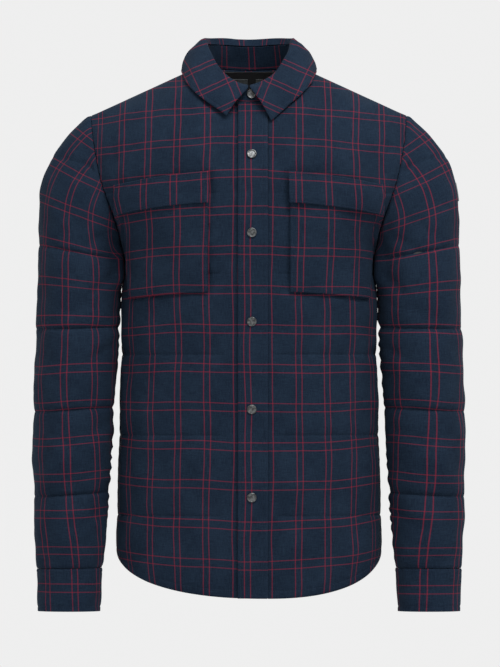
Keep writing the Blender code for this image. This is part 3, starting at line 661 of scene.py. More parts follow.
def grid_layer(mesh, points, layers, form, flip):
    """One grid of a wall, made by the grid operator and moved into place."""
    rows, columns = points.shape[:2]
    grid = bmesh.ops.create_grid(mesh, x_segments=columns - 1, y_segments=rows - 1, size=1.0)["verts"]
    row_layer, u_layer, v_layer = layers
    for vert in grid:
        column = round((vert.co.x + 1.0) / 2.0 * (columns - 1))
        row = round((vert.co.y + 1.0) / 2.0 * (rows - 1))
        vert.co = points[row, column] * MM
        vert[row_layer] = row
        vert[u_layer] = form.u[row, column] * MM
        vert[v_layer] = form.v[row, column] * MM
    faces = list({face for vert in grid for face in vert.link_faces})
    if flip:
        bmesh.ops.reverse_faces(mesh, faces=faces)
    return faces


def lay_pattern(faces, uv, u_layer, v_layer):
    for face in faces:
        for loop in face.loops:
            loop[uv].uv = (loop.vert[u_layer], loop.vert[v_layer])


def wall(name, form, inner, closed, finishes):
    """A cloth wall: its outer and inner grids, joined all round their edges, with the pattern's UV map."""
    mesh = bmesh.new()
    uv = mesh.loops.layers.uv.new("cloth")
    row_layer = mesh.verts.layers.int.new("row")
    u_layer = mesh.verts.layers.float.new("pattern_u")
    v_layer = mesh.verts.layers.float.new("pattern_v")
    layers = (row_layer, u_layer, v_layer)
    outside = grid_layer(mesh, form.outer, layers, form, False)
    inside = grid_layer(mesh, inner, layers, form, True)
    lay_pattern(outside + inside, uv, u_layer, v_layer)
    for face in inside:
        face.material_index = len(finishes) - 1
    before = set(mesh.faces)
    if closed:
        bmesh.ops.remove_doubles(mesh, verts=mesh.verts, dist=1e-6)
        for end in (0, form.outer.shape[0] - 1):
            rim = [e for e in mesh.edges if e.is_boundary and all(v[row_layer] == end for v in e.verts)]
            bmesh.ops.bridge_loops(mesh, edges=rim)
    else:
        bmesh.ops.bridge_loops(mesh, edges=[e for e in mesh.edges if e.is_boundary])
    lay_pattern([face for face in mesh.faces if face not in before], uv, u_layer, v_layer)
    bmesh.ops.recalc_face_normals(mesh, faces=mesh.faces)
    return object_from(mesh, name, finishes, 50)


def keep(piece, slot, *nodes):
    """The piece rides on the garment's one body and stands for its solids."""
    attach(piece, "root")
    if nodes:
        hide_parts(*nodes)
    return piece


SLOTS = {"cloth": "check_cloth", "lining": "lining", "tape": "woven_tape"}


def sheet_piece(context, name, form, inner, finishes, closed=False):
    """A piece cut from a sheet: its wall, hung on the garment's body in place of the solid it stands for,
    which is hidden; its flat size is worked out but not kept.
    """
    forms[name] = form
    made = wall(name, form, inner, closed, [material(context, finish) for finish in finishes])
    keep(made, SLOTS[finishes[0]], name.rsplit("_", 1)[0])
    width, length, area = form.cut()
    return made


class Number:
    """A shader value in a material's nodes, which can be worked with as a number."""

    def __init__(self, paint, socket):
        self.paint = paint
        self.socket = socket

    def __add__(self, other):
        return self.paint.math("ADD", self, other)

    def __radd__(self, other):
        return self.paint.math("ADD", other, self)

    def __sub__(self, other):
        return self.paint.math("SUBTRACT", self, other)

    def __rsub__(self, other):
        return self.paint.math("SUBTRACT", other, self)

    def __mul__(self, other):
        return self.paint.math("MULTIPLY", self, other)

    def __rmul__(self, other):
        return self.paint.math("MULTIPLY", other, self)

    def __truediv__(self, other):
        return self.paint.math("DIVIDE", self, other)

    def __rtruediv__(self, other):
        return self.paint.math("DIVIDE", other, self)


class Paint:
    """A material and the one method that adds a node to it."""

    def __init__(self, name):
        self.material = bpy.data.materials.new(name)
        self.material.use_nodes = True
        self.tree = self.material.node_tree
        self.tree.nodes.clear()
        self.shader = self.tree.nodes.new("ShaderNodeBsdfPrincipled")
        output = self.tree.nodes.new("ShaderNodeOutputMaterial")
        self.tree.links.new(self.shader.outputs["BSDF"], output.inputs["Surface"])

    def node(self, kind, settings=None, sockets=None, out=0):
        made = self.tree.nodes.new(kind)
        for key, value in (settings or {}).items():
            setattr(made, key, value)
        for key, value in (sockets or {}).items():
            self.feed(made.inputs[key], value)
        return Number(self, made.outputs[out])

    def feed(self, socket, value):
        if isinstance(value, Number):
            self.tree.links.new(value.socket, socket)
        else:
            socket.default_value = value

    def math(self, operation, *values, clamp=False):
        sockets = dict(enumerate(values))
        return self.node("ShaderNodeMath", {"operation": operation, "use_clamp": clamp}, sockets)

    def blend(self, share, first, second, kind="MIX"):
        return self.node("ShaderNodeMix", {"data_type": "RGBA", "blend_type": kind, "clamp_factor": True},
                         {0: share, 6: first, 7: second}, 2)

    def noise(self, where, scale, detail=2.0, rough=0.5):
        return self.node("ShaderNodeTexNoise", {}, {"Vector": where, "Scale": scale, "Detail": detail,
                                                   "Roughness": rough})

    def bump(self, height, strength, distance, below=None):
        sockets = {"Height": height, "Strength": strength, "Distance": distance}
        if below is not None:
            sockets["Normal"] = below
        return self.node("ShaderNodeBump", {}, sockets)
    def place(self, u, v, third=0.0):
        """A place made of its separate values."""
        return self.node("ShaderNodeCombineXYZ", {}, {0: u, 1: v, 2: third})

    def pattern(self):
        """A piece's pattern place across and along its cloth, in millimetres."""
        where = self.node("ShaderNodeUVMap", {"uv_map": "cloth"})
        parts = self.node("ShaderNodeSeparateXYZ", {}, {0: where})
        return parts * 1000.0, Number(self, parts.socket.node.outputs[1]) * 1000.0

    def on_object(self):
        """A place on the object itself."""
        return self.node("ShaderNodeTexCoord", {}, {}, 3)

    def finish(self, **sockets):
        """Sets the shader's sockets, whose names have underscores for spaces here."""
        for name, value in sockets.items():
            self.feed(self.shader.inputs[name.replace("_", " ")], value)
        return self.material


def colour(name, description, default):
    return FloatVectorProperty(name=name, description=description, subtype="COLOR", size=3, min=0, max=1,
                               default=default)


def measure(name, description, default, unit="LENGTH"):
    return FloatProperty(name=name, description=description, default=default, unit=unit)


class Overshirt_Cloth(PropertyGroup):
    navy: colour("Navy", "Darker yarn of the ground", (0.0054, 0.0108, 0.0218))
    slate: colour("Slate", "Lighter yarn of the ground", (0.0128, 0.0245, 0.0435))
    red: colour("Red", "Yarn of the check's lines", (0.205, 0.0125, 0.028))
    check_wide: measure("Check width", "Distance between the pairs of upright lines", 0.0428)
    check_tall: measure("Check height", "Distance between the pairs of cross lines", 0.0569)
    upright_gap: measure("Upright pair", "Distance between the two upright lines of a pair", 0.0087)
    cross_gap: measure("Cross pair", "Distance between the two cross lines of a pair", 0.0119)
    line: measure("Line", "Width of one line of the check", 0.0012)
    rib: measure("Twill rib", "Distance between the twill's ribs", 0.0012)


class Overshirt_Padding(PropertyGroup):
    body_puff: measure("Body loft", "Height of the body's quilted channels over their seams", 0.003)
    sleeve_puff: measure("Sleeve loft", "Height of the sleeves' quilted channels over their seams", 0.005)
    gather: measure("Gathers", "Height of the gathers along a sleeve's inner seam", 0.0019)
    stitch: measure("Stitch", "Length of one topstitch", 0.0026)


class Overshirt_Trims(PropertyGroup):
    lining: colour("Lining", "Colour of the lining", (0.006, 0.006, 0.007))
    tape: colour("Tape", "Colour of the bare woven labels", (0.052, 0.058, 0.060))
    metal: colour("Metal", "Colour of the snaps", (0.052, 0.054, 0.055))
    thread: colour("Thread", "Colour of the topstitching", (0.008, 0.014, 0.026))


class Overshirt_Stage(PropertyGroup):
    distance: measure("Camera distance", "From the garment's middle to the camera", 14.0)
    key: measure("Key light", "Power of the large light above the front", 84.0, "POWER")
    fill: measure("Fill light", "Power of the large light facing the front", 3.0, "POWER")
    floor: measure("Floor", "Half the floor's width", 3.0)
    air: measure("Surrounding light", "Strength of the even light all round", 0.86, "NONE")


def opaque(rgb, gain=1.0, more=0.0):
    """A colour for a socket, made lighter by a gain and an amount."""
    return (*(min(1.0, gain * c + more) for c in rgb), 1.0)


def check_lines(paint, along, period, gap, width):
    """A repeated pair of lines across one direction of the cloth, from metres."""
    period, gap, width = (1000 * metres for metres in (period, gap, width))
    place = paint.math("FRACT", along / period + 0.5)
    away = paint.math("ABSOLUTE", paint.math("ABSOLUTE", place - 0.5) * period - gap / 2)
    return paint.math("MULTIPLY", (width / 2 + 0.35) - away, 1.0 / 0.7, clamp=True)


def cloth_material(context):
    """Brushed twill in a heathered navy, with its windowpane check in the piece's own pattern places."""
    cloth = context.scene.overshirt_cloth
    paint = Paint("check_twill")
    u, v = paint.pattern()
    flat = paint.place(u, v)
    drift_u = paint.noise(flat, 0.011, 2.0)
    drift_v = paint.noise(paint.place(u, v, 40.0), 0.011, 2.0)
    upright = check_lines(paint, u + (drift_u - 0.5) * 4.0, cloth.check_wide, cloth.upright_gap, cloth.line)
    cross = check_lines(paint, v + (drift_v - 0.5) * 4.0, cloth.check_tall, cloth.cross_gap, cloth.line)
    heather = paint.noise(flat, 0.55, 3.0, 0.65)
    warp = paint.noise(paint.place(u * 1.1, v * 0.07), 1.0, 2.0)
    weft = paint.noise(paint.place(u * 0.07, v * 1.1, 9.0), 1.0, 2.0)
    worn = paint.noise(flat, 0.02, 3.0)
    mottle = (warp + weft) * 0.5 + heather * 0.6 + worn * 0.35 - 0.975
    ground_share = paint.math("MULTIPLY_ADD", mottle, 2.6, 0.42, clamp=True)
    ground = paint.blend(ground_share, opaque(cloth.navy), opaque(cloth.slate))
    over = upright * 0.56 + cross * 0.46 - upright * cross * 0.02
    lines = over * paint.math("MULTIPLY_ADD", heather, 0.9, 0.52, clamp=True)
    shade = paint.blend(lines, ground, opaque(cloth.red))
    ribs = paint.math("SINE", (u + v) * (2 * math.pi / (1000 * cloth.rib)))
    nap = paint.noise(flat, 1.6, 2.0, 0.7)
    height = ribs * 0.22 + nap * 0.5 + (upright + cross) * 0.12
    crumple = paint.bump(paint.noise(flat, 0.075, 3.0), 0.35, 0.0016)
    return paint.finish(Base_Color=shade, Roughness=paint.math("MULTIPLY_ADD", heather, 0.12, 0.8),
                        Normal=paint.bump(height, 0.5, 0.00022, crumple), Specular_IOR_Level=0.05,
                        Sheen_Weight=0.015, Sheen_Roughness=0.55, Sheen_Tint=(0.62, 0.78, 1.0, 1.0))


def lining_material(context):
    """Smooth black lining with a fine weave, soft folds and a low sheen; its colour is a little lighter on
    the folds' crests, which is painted light.
    """
    black = context.scene.overshirt_trims.lining
    paint = Paint("black_lining")
    where = paint.on_object()
    yarn = paint.noise(where, 900.0, 2.0)
    folds_and_painted_light = paint.noise(where, 24.0, 3.0)
    # The weave's yarn and the folds' height lighten the black. The yarn part is the weave's own tone; the
    # folds' part is painted light on their crests.
    shade = paint.blend(yarn * 0.6 + folds_and_painted_light * 0.3, opaque(black), opaque(black, 2.6, 0.004))
    bump = paint.bump(yarn, 0.3, 0.00015, paint.bump(folds_and_painted_light, 0.5, 0.004))
    return paint.finish(Base_Color=shade, Roughness=paint.math("MULTIPLY_ADD", folds_and_painted_light, 0.2, 0.42), Normal=bump)


def tape_material(context):
    """Bare woven tape: fine cross ribs and a slightly uneven grey."""
    grey = context.scene.overshirt_trims.tape
    paint = Paint("woven_tape")
    u, v = paint.pattern()
    cross_ribs = paint.math("SINE", v * (2 * math.pi / 0.8))
    ribs = cross_ribs * 0.5 + paint.math("SINE", u * (2 * math.pi / 0.7)) * 0.5
    yarn = paint.noise(paint.place(u, v), 0.8, 3.0)
    shade = paint.blend(ribs * 0.2 + yarn * 0.7, opaque(grey), opaque(grey, 1.7))
    return paint.finish(Base_Color=shade, Roughness=0.55 + yarn * 0.1,
                        Normal=paint.bump(ribs * 0.5 + yarn * 0.4, 0.5, 0.0002))


def metal_material(context):
    """Dark satin metal with fine turned marks, a little brighter where it is rubbed."""
    grey = context.scene.overshirt_trims.metal
    paint = Paint("gunmetal")
    where = paint.on_object()
    grain = paint.noise(where, 2600.0, 2.0)
    rubbed = paint.noise(where, 320.0, 2.0)
    speckle = paint.math("MULTIPLY_ADD", rubbed + grain * 0.4, 4.0, -2.3, clamp=True)
    return paint.finish(Base_Color=paint.blend(speckle, opaque(grey), opaque(grey, 2.8)),
                        Roughness=0.26 + grain * 0.16, Normal=paint.bump(grain, 0.25, 0.00005), Metallic=1.0)


def thread_material(context):
    """Twisted sewing thread."""
    dark = context.scene.overshirt_trims.thread
    paint = Paint("thread")
    twist = paint.noise(paint.on_object(), 1500.0, 2.0)
    shade = paint.blend(twist, opaque(dark), opaque(dark, 2.4))
    return paint.finish(Base_Color=shade, Roughness=0.7 + twist * 0.1, Specular_IOR_Level=0.1,
                        Normal=paint.bump(twist, 0.4, 0.0001))


def floor_material():
    """A plain pale floor."""
    pale = (0.62, 0.62, 0.62)
    paint = Paint("pale_floor")
    soft = paint.noise(paint.on_object(), 1.5, 2.0)
    return paint.finish(Base_Color=paint.blend(soft, opaque(pale), opaque(pale, 1.01)), Roughness=0.9)


MAKERS = {"cloth": cloth_material, "lining": lining_material, "tape": tape_material, "metal": metal_material,
          "thread": thread_material}
made_materials = {}


def material(context, name):
    """A finish of the garment, made the first time that a piece needs it."""
    if name not in made_materials:
        made_materials[name] = MAKERS[name](context)
    return made_materials[name]


def body_pattern(across, z, offset):
    """Where a place on the body lies on the check: its arc from the middle, and its height with the drop."""
    drop = read(CHECK_DROP, "level", "drop", z) * (np.abs(across) / 205.0) ** 1.6
    wander = 0.9 * np.sin(across / 47.0 + 0.8 * np.sin(z / 83.0)) + 0.6 * np.sin(across / 21.0 + z / 130.0)
    sway = 1.0 * np.sin(z / 64.0 + across / 90.0) + 0.6 * np.sin(z / 27.0 + 0.6 * np.sin(across / 40.0))
    return across + offset + sway, read(CHECK_RISE, "level", "place", z) + drop + wander


def arc_at(x, level):
    """The distance over the front's section at a height, from the middle to a place across it."""
    run = np.linspace(0.0, 240.0, 481)
    step = np.hypot(np.diff(run), np.diff(depth(run, level, False)))
    return np.sign(x) * np.interp(np.abs(x), run, np.concatenate([[0.0], np.cumsum(step)]))


def front_across(x, z):
    return mix(arc_at(x, -240.0), arc_at(x, -150.0), ease((z + 230.0) / 62.0))


def panel(context, name, side, inner_x, back, columns, check_start, table, seed):
    """A quilted body panel, with its puffs, puckers, seam dips and creases in its outer cloth."""
    padding = context.scene.overshirt_padding
    u = 1.0 - (1.0 - np.linspace(0.0, 1.0, columns + 1)) ** 1.12
    if back:
        u = np.concatenate([-u[:0:-1], u])
    cols, rows = np.meshgrid(u, body_levels(BODY_ROWS))
    base = body_point(side, inner_x, cols, rows, back)
    x_place = base[..., 0]
    z = base[..., 2]
    at_side = ease((np.abs(cols) - 0.9) / 0.1)
    in_shoulder = ease((rows + 14.0) / 14.0)
    past_neck = np.abs(x_place) - NECK_HALF
    apart = SEAM_GAP * at_side + np.where((rows > -2.0) & (past_neck >= -1.0), SEAM_GAP, 0.0)
    base[..., 1] += apart if back else -apart
    base[..., 1] += 1.2 * np.sin(x_place / 8.0) * in_shoulder * (past_neck > 1.0)
    normal = normals_of(base, False, spine(base))
    edge_z = base[:, -1:, 2]
    at_shoulder = in_shoulder * ease((past_neck + 12.0) / 10.0)
    normal[..., 1] *= (1.0 - at_side * ease((UNDERARM_Z + 40.0 - edge_z) / 40.0)) * (1.0 - at_shoulder)
    normal = normal / np.linalg.norm(normal, axis=-1, keepdims=True)

    arc = arc_along(base, 1)
    across = arc - arc[:, columns:columns + 1] if back else side * (arc + inner_x)
    side_arc = np.minimum(arc, arc[:, -1:] - arc) if back else arc[:, -1:] - arc
    height = arc_along(base, 0)
    under_hem = (QUILT_LOW - rows) / (QUILT_LOW - HEM_FRONT)
    channel = np.where(rows < QUILT_LOW, under_hem, (rows - QUILT_LOW) / QUILT_STEP)
    puff = np.where(rows < QUILT_HIGH, crown(channel), 0.5 * crown(np.clip(rows / QUILT_HIGH, 0.0, 1.0)))
    side_share = mix(0.4 * ease((UNDERARM_Z - edge_z) / 20.0), 1.0, ease((1.0 - np.abs(cols)) / 0.15))
    placket = 1.0 if back else ease((np.abs(x_place) - PLACKET_RIGHT - 2.0) / 22.0)
    lift = padding.body_puff / MM * puff * side_share * placket

    nearest = np.abs(channel - np.round(channel)) * QUILT_STEP
    quilted = (rows <= QUILT_HIGH + 18.0) & (rows >= QUILT_LOW - 60.0)
    ripple = np.sin(across / 2.35 + 1.9 * np.sin(across / 17.0 + seed + rows * 0.02))
    ripple = ripple * (0.65 + 0.35 * np.sin(across / 31.0 + seed)) * quilted
    lift = lift + 0.42 * ripple * close_to(nearest, 0.0, 10.0, 1.3) * placket * side_share
    lift = lift - 0.5 * close_to(nearest, 0.0, 2.2) * (rows < QUILT_HIGH + 10.0) * placket
    if side < 0:
        lift = lift - 2.3 * close_to(x_place, PLACKET_LEFT - 2.0, 3.6)
    if not back:
        lift = lift - 2.6 * beside_patches(x_place, z)
    free = ease(side_arc / 26.0) * ease((HEM_FRONT - rows + 1.0) / -14.0) * placket * ease(-rows / 20.0)
    lift = lift + 0.55 * unevenness(across, z, seed) * free
    lift = lift + creases(across if back else side * across, z, table) * ease(side_arc / 12.0) * placket
    seam = 1.1 * close_to(side_arc, 0.0, 3.2) * ease((UNDERARM_Z - edge_z) / 10.0)
    seam = seam + 0.7 * close_to(height, 11.0, 1.6) + 0.8 * close_to(height, 0.0, 1.5)
    seam = seam + close_to(height[-1:] - height, 0.0, 2.6)
    pinch = np.sin(height / 2.6 + 1.3 * np.sin(height / 23.0)) * close_to(side_arc, 0.0, 9.0, 1.5)
    lift = lift - seam + 0.4 * pinch * ease((height - 14.0) / 10.0)

    over = across if back else mix(across, front_across(x_place, z), ease((z + 262.0) / 40.0))
    form = Form(base, base + normal * lift[..., None], normal, *body_pattern(over, z, check_start))
    inner = base - normal * WALL
    return sheet_piece(context, name, form, inner, ("cloth", "lining"))


class OVERSHIRT_OT_body(Operator):
    """Makes the two quilted fronts and the quilted back"""

    bl_idname = "overshirt.body"
    bl_label = "Fronts and back"

    def execute(self, context):
        left, right = PLACKET_RIGHT + SEAM_GAP, 1.0 - PLACKET_RIGHT
        panel(context, "front_left_cloth", 1, left, False, 86, CHECK_START[1], FRONT_CREASES, 1.0)
        panel(context, "front_right_cloth", -1, right, False, 86, CHECK_START[-1], FRONT_CREASES, 2.0)
        panel(context, "back_cloth", 1, 0.0, True, 84, 0.0, BACK_CREASES, 3.0)
        return {"FINISHED"}


def sleeve_check(side, across):
    """Where a place round a sleeve lies on the check. The two sleeves are cut a little differently."""
    return 0.778 * across - 21.0 if side > 0 else across - 40.0


def sleeve_cloth(context, name, side, seed):
    """A quilted sleeve, gathered along its inner seam, with creases that differ front and back."""
    padding = context.scene.overshirt_padding
    puff = padding.sleeve_puff / MM
    cap = np.linspace(0.0, 1.0, 81)[:-1] ** 1.15
    channels = [quilt_levels(i, i + 1, 38) for i in range(1, CUFF_SEAM)]
    downs = np.concatenate([cap, *channels, [CUFF_SEAM - 0.004]])
    cols, rows = np.meshgrid(np.linspace(-math.pi, math.pi, SLEEVE_COLUMNS + 1), downs)
    outer_side = SLEEVE_COLUMNS // 2
    front_side = 3 * SLEEVE_COLUMNS // 4
    base = sleeve_point(side, cols, rows)
    z = base[..., 2]
    inside = np.where(z > -170, 200.0, 240.0) - 18.0 * z / 700.0
    normal = normals_of(base, True, stack(side * inside, MIDDLE, np.minimum(z, -110.0)))
    start = 1.0 - ease(rows / 0.1)
    under = ease((-np.cos(cols) - 0.4) / 0.6)
    push = side * (4.0 * SEAM_GAP * start + 0.8 * (1.0 - ease(rows)) * under)
    base = base + stack(push, 0.0, 3.4 * start * under)
    z = base[..., 2]

    around = arc_along(base, 1)
    across = around - around[:, outer_side:outer_side + 1]
    to_seam = np.minimum(around, around[:, -1:] - around)
    share = rows - np.floor(rows)
    low = puff * crown(share + 0.06 * np.sin(2 * math.pi * share))
    away = np.abs(cols) / CAP_SEAM_END
    seam = np.where(away < 1.0, CAP_SEAM_SHARE * np.cos(np.minimum(away, 1.0) * math.pi / 2), 0.0)
    above = np.clip(rows / np.maximum(seam, 1e-3), 0.0, 1.0)
    over = 0.7 * puff * crown(above) * seam / CAP_SEAM_SHARE
    below = puff * crown(np.clip((rows - seam) / (1.0 - seam), 0.0, 1.0))
    below = below * mix(0.35, 1.0, (1.0 + np.cos(cols)) / 2)
    lift = sleeve_loft(np.where(rows >= 1.0, low, np.where(rows < seam, over, below)), cols, rows)

    along = arc_along(base, 0)
    to_cuff = along[-1:] - along
    front_run = along[:, front_side:front_side + 1]
    nearest = np.abs(rows - seam) * 170.0 + np.where(seam > 0.06, 0.0, 1e3)
    for row, down in enumerate(downs):
        if abs(down - round(down)) < 1e-6 and 1 <= round(down) < CUFF_SEAM:
            nearest = np.minimum(nearest, np.abs(along - along[row:row + 1]))
    ripple = np.sin(across / 2.2 + 1.8 * np.sin(across / 15.0 + seed + rows))
    ripple = ripple * (0.6 + 0.4 * np.sin(across / 24.0))
    pressed = under * ease((z + 312.0) / 24.0)
    lift = lift - 2.8 * close_to(nearest, 0.0, 3.0) * (1.0 - pressed) * (1.0 - 0.8 * np.cos(cols) ** 2)
    lift = lift + 0.6 * ripple * close_to(nearest, 0.0, 9.0, 1.3)
    run = front_run + 2.5 * np.sin(front_run / 29.0 + seed)
    wave = np.sin(run / 2.9 + 1.6 * np.sin(run / 13.0)) * (0.55 + 0.45 * np.sin(run / 37.0 + seed))
    reach = 15.0 + 9.0 * np.sin(run / 13.0 + seed) ** 2
    gathered = ease((rows - 0.8) / 0.5)
    lift = lift + padding.gather / MM * wave * close_to(to_seam, 0.0, reach, 1.25) * gathered
    lift = lift - 1.8 * close_to(to_seam, 0.0, 4.5) * gathered * (1.0 - pressed)
    free = ease(along / 16.0) * ease(to_seam / 16.0) * ease(to_cuff / 12.0)
    lift = lift + 0.75 * unevenness(across, z, seed) * free
    lift = lift + creases(across, z + 3.0 * math.sin(seed), SLEEVE_CREASES) * free
    lift = lift - 1.5 * close_to(along, 0.0, 3.0) - 0.8 * close_to(to_cuff, 0.0, 2.5)
    eased = np.sin(across / 2.8 + 1.5 * np.sin(across / 19.0)) * close_to(along, 0.0, 11.0, 1.4)
    lift = joined(lift + 0.6 * eased * ease(along / 3.0))

    # The sleeve's inner side rests on the body under the arm
    outer = base + normal * lift[..., None]
    near = ease((-np.cos(cols) - 0.1) / 0.3) * ease((52.0 - np.abs(outer[..., 1] - MIDDLE)) / 22.0)
    near = near * ease((z + 314.0) / 26.0) * ease(rows / 0.5)
    moved = side * (body_side(outer[..., 1], z) + REST_GAP - np.abs(outer[..., 0])) * near
    outer[..., 0] += moved
    inner = base - normal * WALL
    inner[..., 0] += moved

    first = int(np.argmax(downs >= 1.0))
    ring = (along[:, outer_side:outer_side + 1] + front_run) / 2
    rise = np.arctan2(z - CAP_PIVOT["z"], np.abs(base[..., 0]) - CAP_PIVOT["x"])
    cap_v = 1.3 * CAP_REACH * (rise - rise[first:first + 1])
    v_place = np.where(rows < 1.0, cap_v, -1.06 * (ring - ring[first:first + 1]))
    v_place = v_place + 0.9 * np.sin(across / 23.0 + z / 71.0) + 4.0
    v_place = v_place + 1.06 * read(SLEEVE_DRAW, "level", "left" if side > 0 else "right", z)
    u_place = sleeve_check(side, across + 0.8 * np.sin(z / 37.0))

    # Two rows of seam allowance before the first, turned under the body's cloth
    turned = normal[:1] * 5.2
    tucked = turned + stack(side * 8.0, 0.0, -3.0 * np.cos(cols[:1]))
    outer = np.concatenate([outer[:1] - tucked, outer[:1] - turned, outer])
    inner = np.concatenate([outer[:2] - normal[:1] * 1.2, inner])
    base = np.concatenate([base[:1] - tucked, base[:1] - turned, base])
    normal = np.concatenate([normal[:1], normal[:1], normal])
    u_place = np.concatenate([u_place[:1], u_place[:1], u_place])
    v_place = np.concatenate([v_place[:1] + 12.0, v_place[:1] + 5.0, v_place])
    form = Form(base, outer, normal, u_place, v_place)
    return sheet_piece(context, name, form, inner, ("cloth", "lining"),
                       closed=True)


class OVERSHIRT_OT_sleeves(Operator):
    """Makes the two quilted sleeves"""

    bl_idname = "overshirt.sleeves"
    bl_label = "Sleeves"

    def execute(self, context):
        sleeve_cloth(context, "sleeve_left_cloth", 1, 1.3)
        sleeve_cloth(context, "sleeve_right_cloth", -1, 2.9)
        return {"FINISHED"}


def cuff_cloth(context, name, side, seed):
    """A plain cuff, its cloth eased in along the seam over it."""
    turns = np.linspace(-math.pi, math.pi, CUFF_COLUMNS + 1)
    cols, rows = np.meshgrid(turns, CUFF_SEAM + np.linspace(0.004, 1.0, 27))
    middle = (ring_point(side, cols * 0.0, rows) + ring_point(side, cols * 0.0 + math.pi, rows)) / 2
    out = ring_point(side, cols, rows) - middle
    far = np.linalg.norm(out, axis=-1, keepdims=True)
    base = middle + out * (far + 1.5) / far
    normal = out / far
    around = arc_along(base, 1)
    across = around - around[:, CUFF_COLUMNS // 2:CUFF_COLUMNS // 2 + 1]
    to_seam = np.minimum(around, around[:, -1:] - around)
    along = arc_along(base, 0)
    end = along[-1:] - along
    lift = 0.7 * np.sin(across / 3.4 + 1.6 * np.sin(across / 21.0 + seed)) * close_to(along, 0.0, 13.0, 1.3)
    lift = lift + 0.5 * unevenness(across, along, seed) * ease(end / 12.0)
    lift = lift - 0.4 * close_to(along, 7.0, 1.4) - 0.7 * close_to(end, 7.0, 1.5)
    lift = joined(lift - 1.2 * close_to(to_seam, 0.0, 2.6) - close_to(along, 0.0, 1.6))
    v_place = forms[name.replace("cuff", "sleeve")].v[-1:].mean() - along
    form = Form(base, base + normal * lift[..., None], normal, sleeve_check(side, across), v_place)
    return sheet_piece(context, name, form, base - normal * WALL, ("cloth", "lining"),
                       closed=True)


class OVERSHIRT_OT_cuffs(Operator):
    """Makes the two plain cuffs"""

    bl_idname = "overshirt.cuffs"
    bl_label = "Cuffs"

    def execute(self, context):
        cuff_cloth(context, "cuff_left_cloth", 1, 0.7)
        cuff_cloth(context, "cuff_right_cloth", -1, 2.1)
        return {"FINISHED"}


def rounded(edge, radius, height):
    """How far a sewn edge drops from its cloth within a radius of it."""
    return height * (1.0 - np.sqrt(np.clip(1.0 - (1.0 - np.clip(edge / radius, 0.0, 1.0)) ** 2, 0.0, 1.0)))


def settle(turn):
    """How far the collar's fold sinks from its drafted height: most at the front, and some at the sides."""
    from_front = np.minimum(np.mod(turn, 360.0), 360.0 - np.mod(turn, 360.0))
    return 5.0 * close_to(from_front, 0.0, 42.0) + 3.6 * close_to(from_front, 98.0, 30.0)


def collar_stand(context):
    """The band round the neck, under the collar."""
    cols, rows = np.meshgrid(np.linspace(350.5, -9.0, STAND_COLUMNS), np.linspace(0.0, 1.0, 25))
    base = stand_point(cols, rows) - stack(0.0, 0.0, rows * settle(cols))
    normal = normals_of(base, False, stack(0.0, MIDDLE, base[..., 2]))
    across = arc_along(base, 1)
    up = arc_along(base, 0)
    lift = 0.35 * unevenness(across, up, 1.0) - rounded(np.minimum(up, up[-1:] - up), 1.6, 0.7)
    lift = (lift - 0.4 * close_to(up, 2.5, 0.9)) * ease(rows * 8.0)
    thick = THIN_WALL - 0.5 * unevenness(across, up, 2.0)
    u_place = across - across[:, STAND_COLUMNS // 2:STAND_COLUMNS // 2 + 1] + 8.0
    form = Form(base, base + normal * lift[..., None], normal, u_place, up + 3.0)
    sheet_piece(context, "collar_stand_cloth", form, base - normal * thick[..., None], ("cloth",))


def collar_fall(context):
    """The turned-down collar, from the stand's top over its roll to its points."""
    outs = np.concatenate([np.linspace(0.0, FOLD_END, 15)[:-1], np.linspace(FOLD_END, 1.0, 36)])
    cols, rows = np.meshgrid(np.linspace(359.0, 1.0, FALL_COLUMNS), outs)
    base = collar_point(cols, rows)
    still = 1.0 - ease((rows - FOLD_END) / 0.6)
    from_front = np.minimum(cols, 360.0 - cols)
    tip = 3.5 * np.where(cols < 180.0, 1.0, -1.0) * close_to(from_front, 0.0, 26.0) * ease((rows - 0.3) / 0.7)
    base = base - stack(0.0, 0.0, still * settle(cols) + tip)
    behind = (ease((from_front - 84.0) / 24.0) * ease((rows - 0.3) / 0.2))[:, 1:-1, None]
    for _ in range(60):
        evened = (base[:, :-2] + 2.0 * base[:, 1:-1] + base[:, 2:]) / 4.0
        base[:, 1:-1] = mix(base[:, 1:-1], evened, behind)
    normal = normals_of(base, False, stack(0.0, MIDDLE, -40.0))
    across = arc_along(base, 1)
    out = arc_along(base, 0)
    edge = np.minimum(out[-1:] - out, np.minimum(across, across[:, -1:] - across))
    lift = 0.5 * unevenness(across, out, 4.0) * ease(edge / 10.0)
    lift = lift - 0.45 * close_to(edge, 5.5, 1.1) * (out > 14.0)
    pull = np.sin(across / 3.1 + 1.7 * np.sin(across / 17.0)) * close_to(edge, 0.0, 6.0)
    lift = lift + 0.35 * pull * (out > 14.0) + creases(across, out, COLLAR_CREASES)
    outer = base + normal * (lift + THIN_WALL - rounded(edge, 1.6, 0.9))[..., None]

    # The check runs round the neck behind, and along each leaf in front
    ring = across[20:21] - across[20:21, FALL_COLUMNS // 2:FALL_COLUMNS // 2 + 1]
    slant = math.radians(24.0)
    far = np.abs(base[..., 0])
    along_leaf = far * math.cos(slant) - base[..., 2] * math.sin(slant)
    down_leaf = far * math.sin(slant) + base[..., 2] * math.cos(slant)
    leaf = ease((100.0 - from_front) / 24.0) > 0.5
    u_place = np.where(leaf, (down_leaf - 6.9) / 0.78, ring + 14.0)
    v_place = np.where(leaf, (along_leaf - 26.4) / 0.92, out - 36.0)
    form = Form(base, outer, normal, u_place, v_place)
    sheet_piece(context, "collar_fall_cloth", form, base, ("cloth",))


class OVERSHIRT_OT_collar(Operator):
    """Makes the collar stand and the turned-down collar"""

    bl_idname = "overshirt.collar"
    bl_label = "Collar"

    def execute(self, context):
        collar_stand(context)
        collar_fall(context)
        return {"FINISHED"}


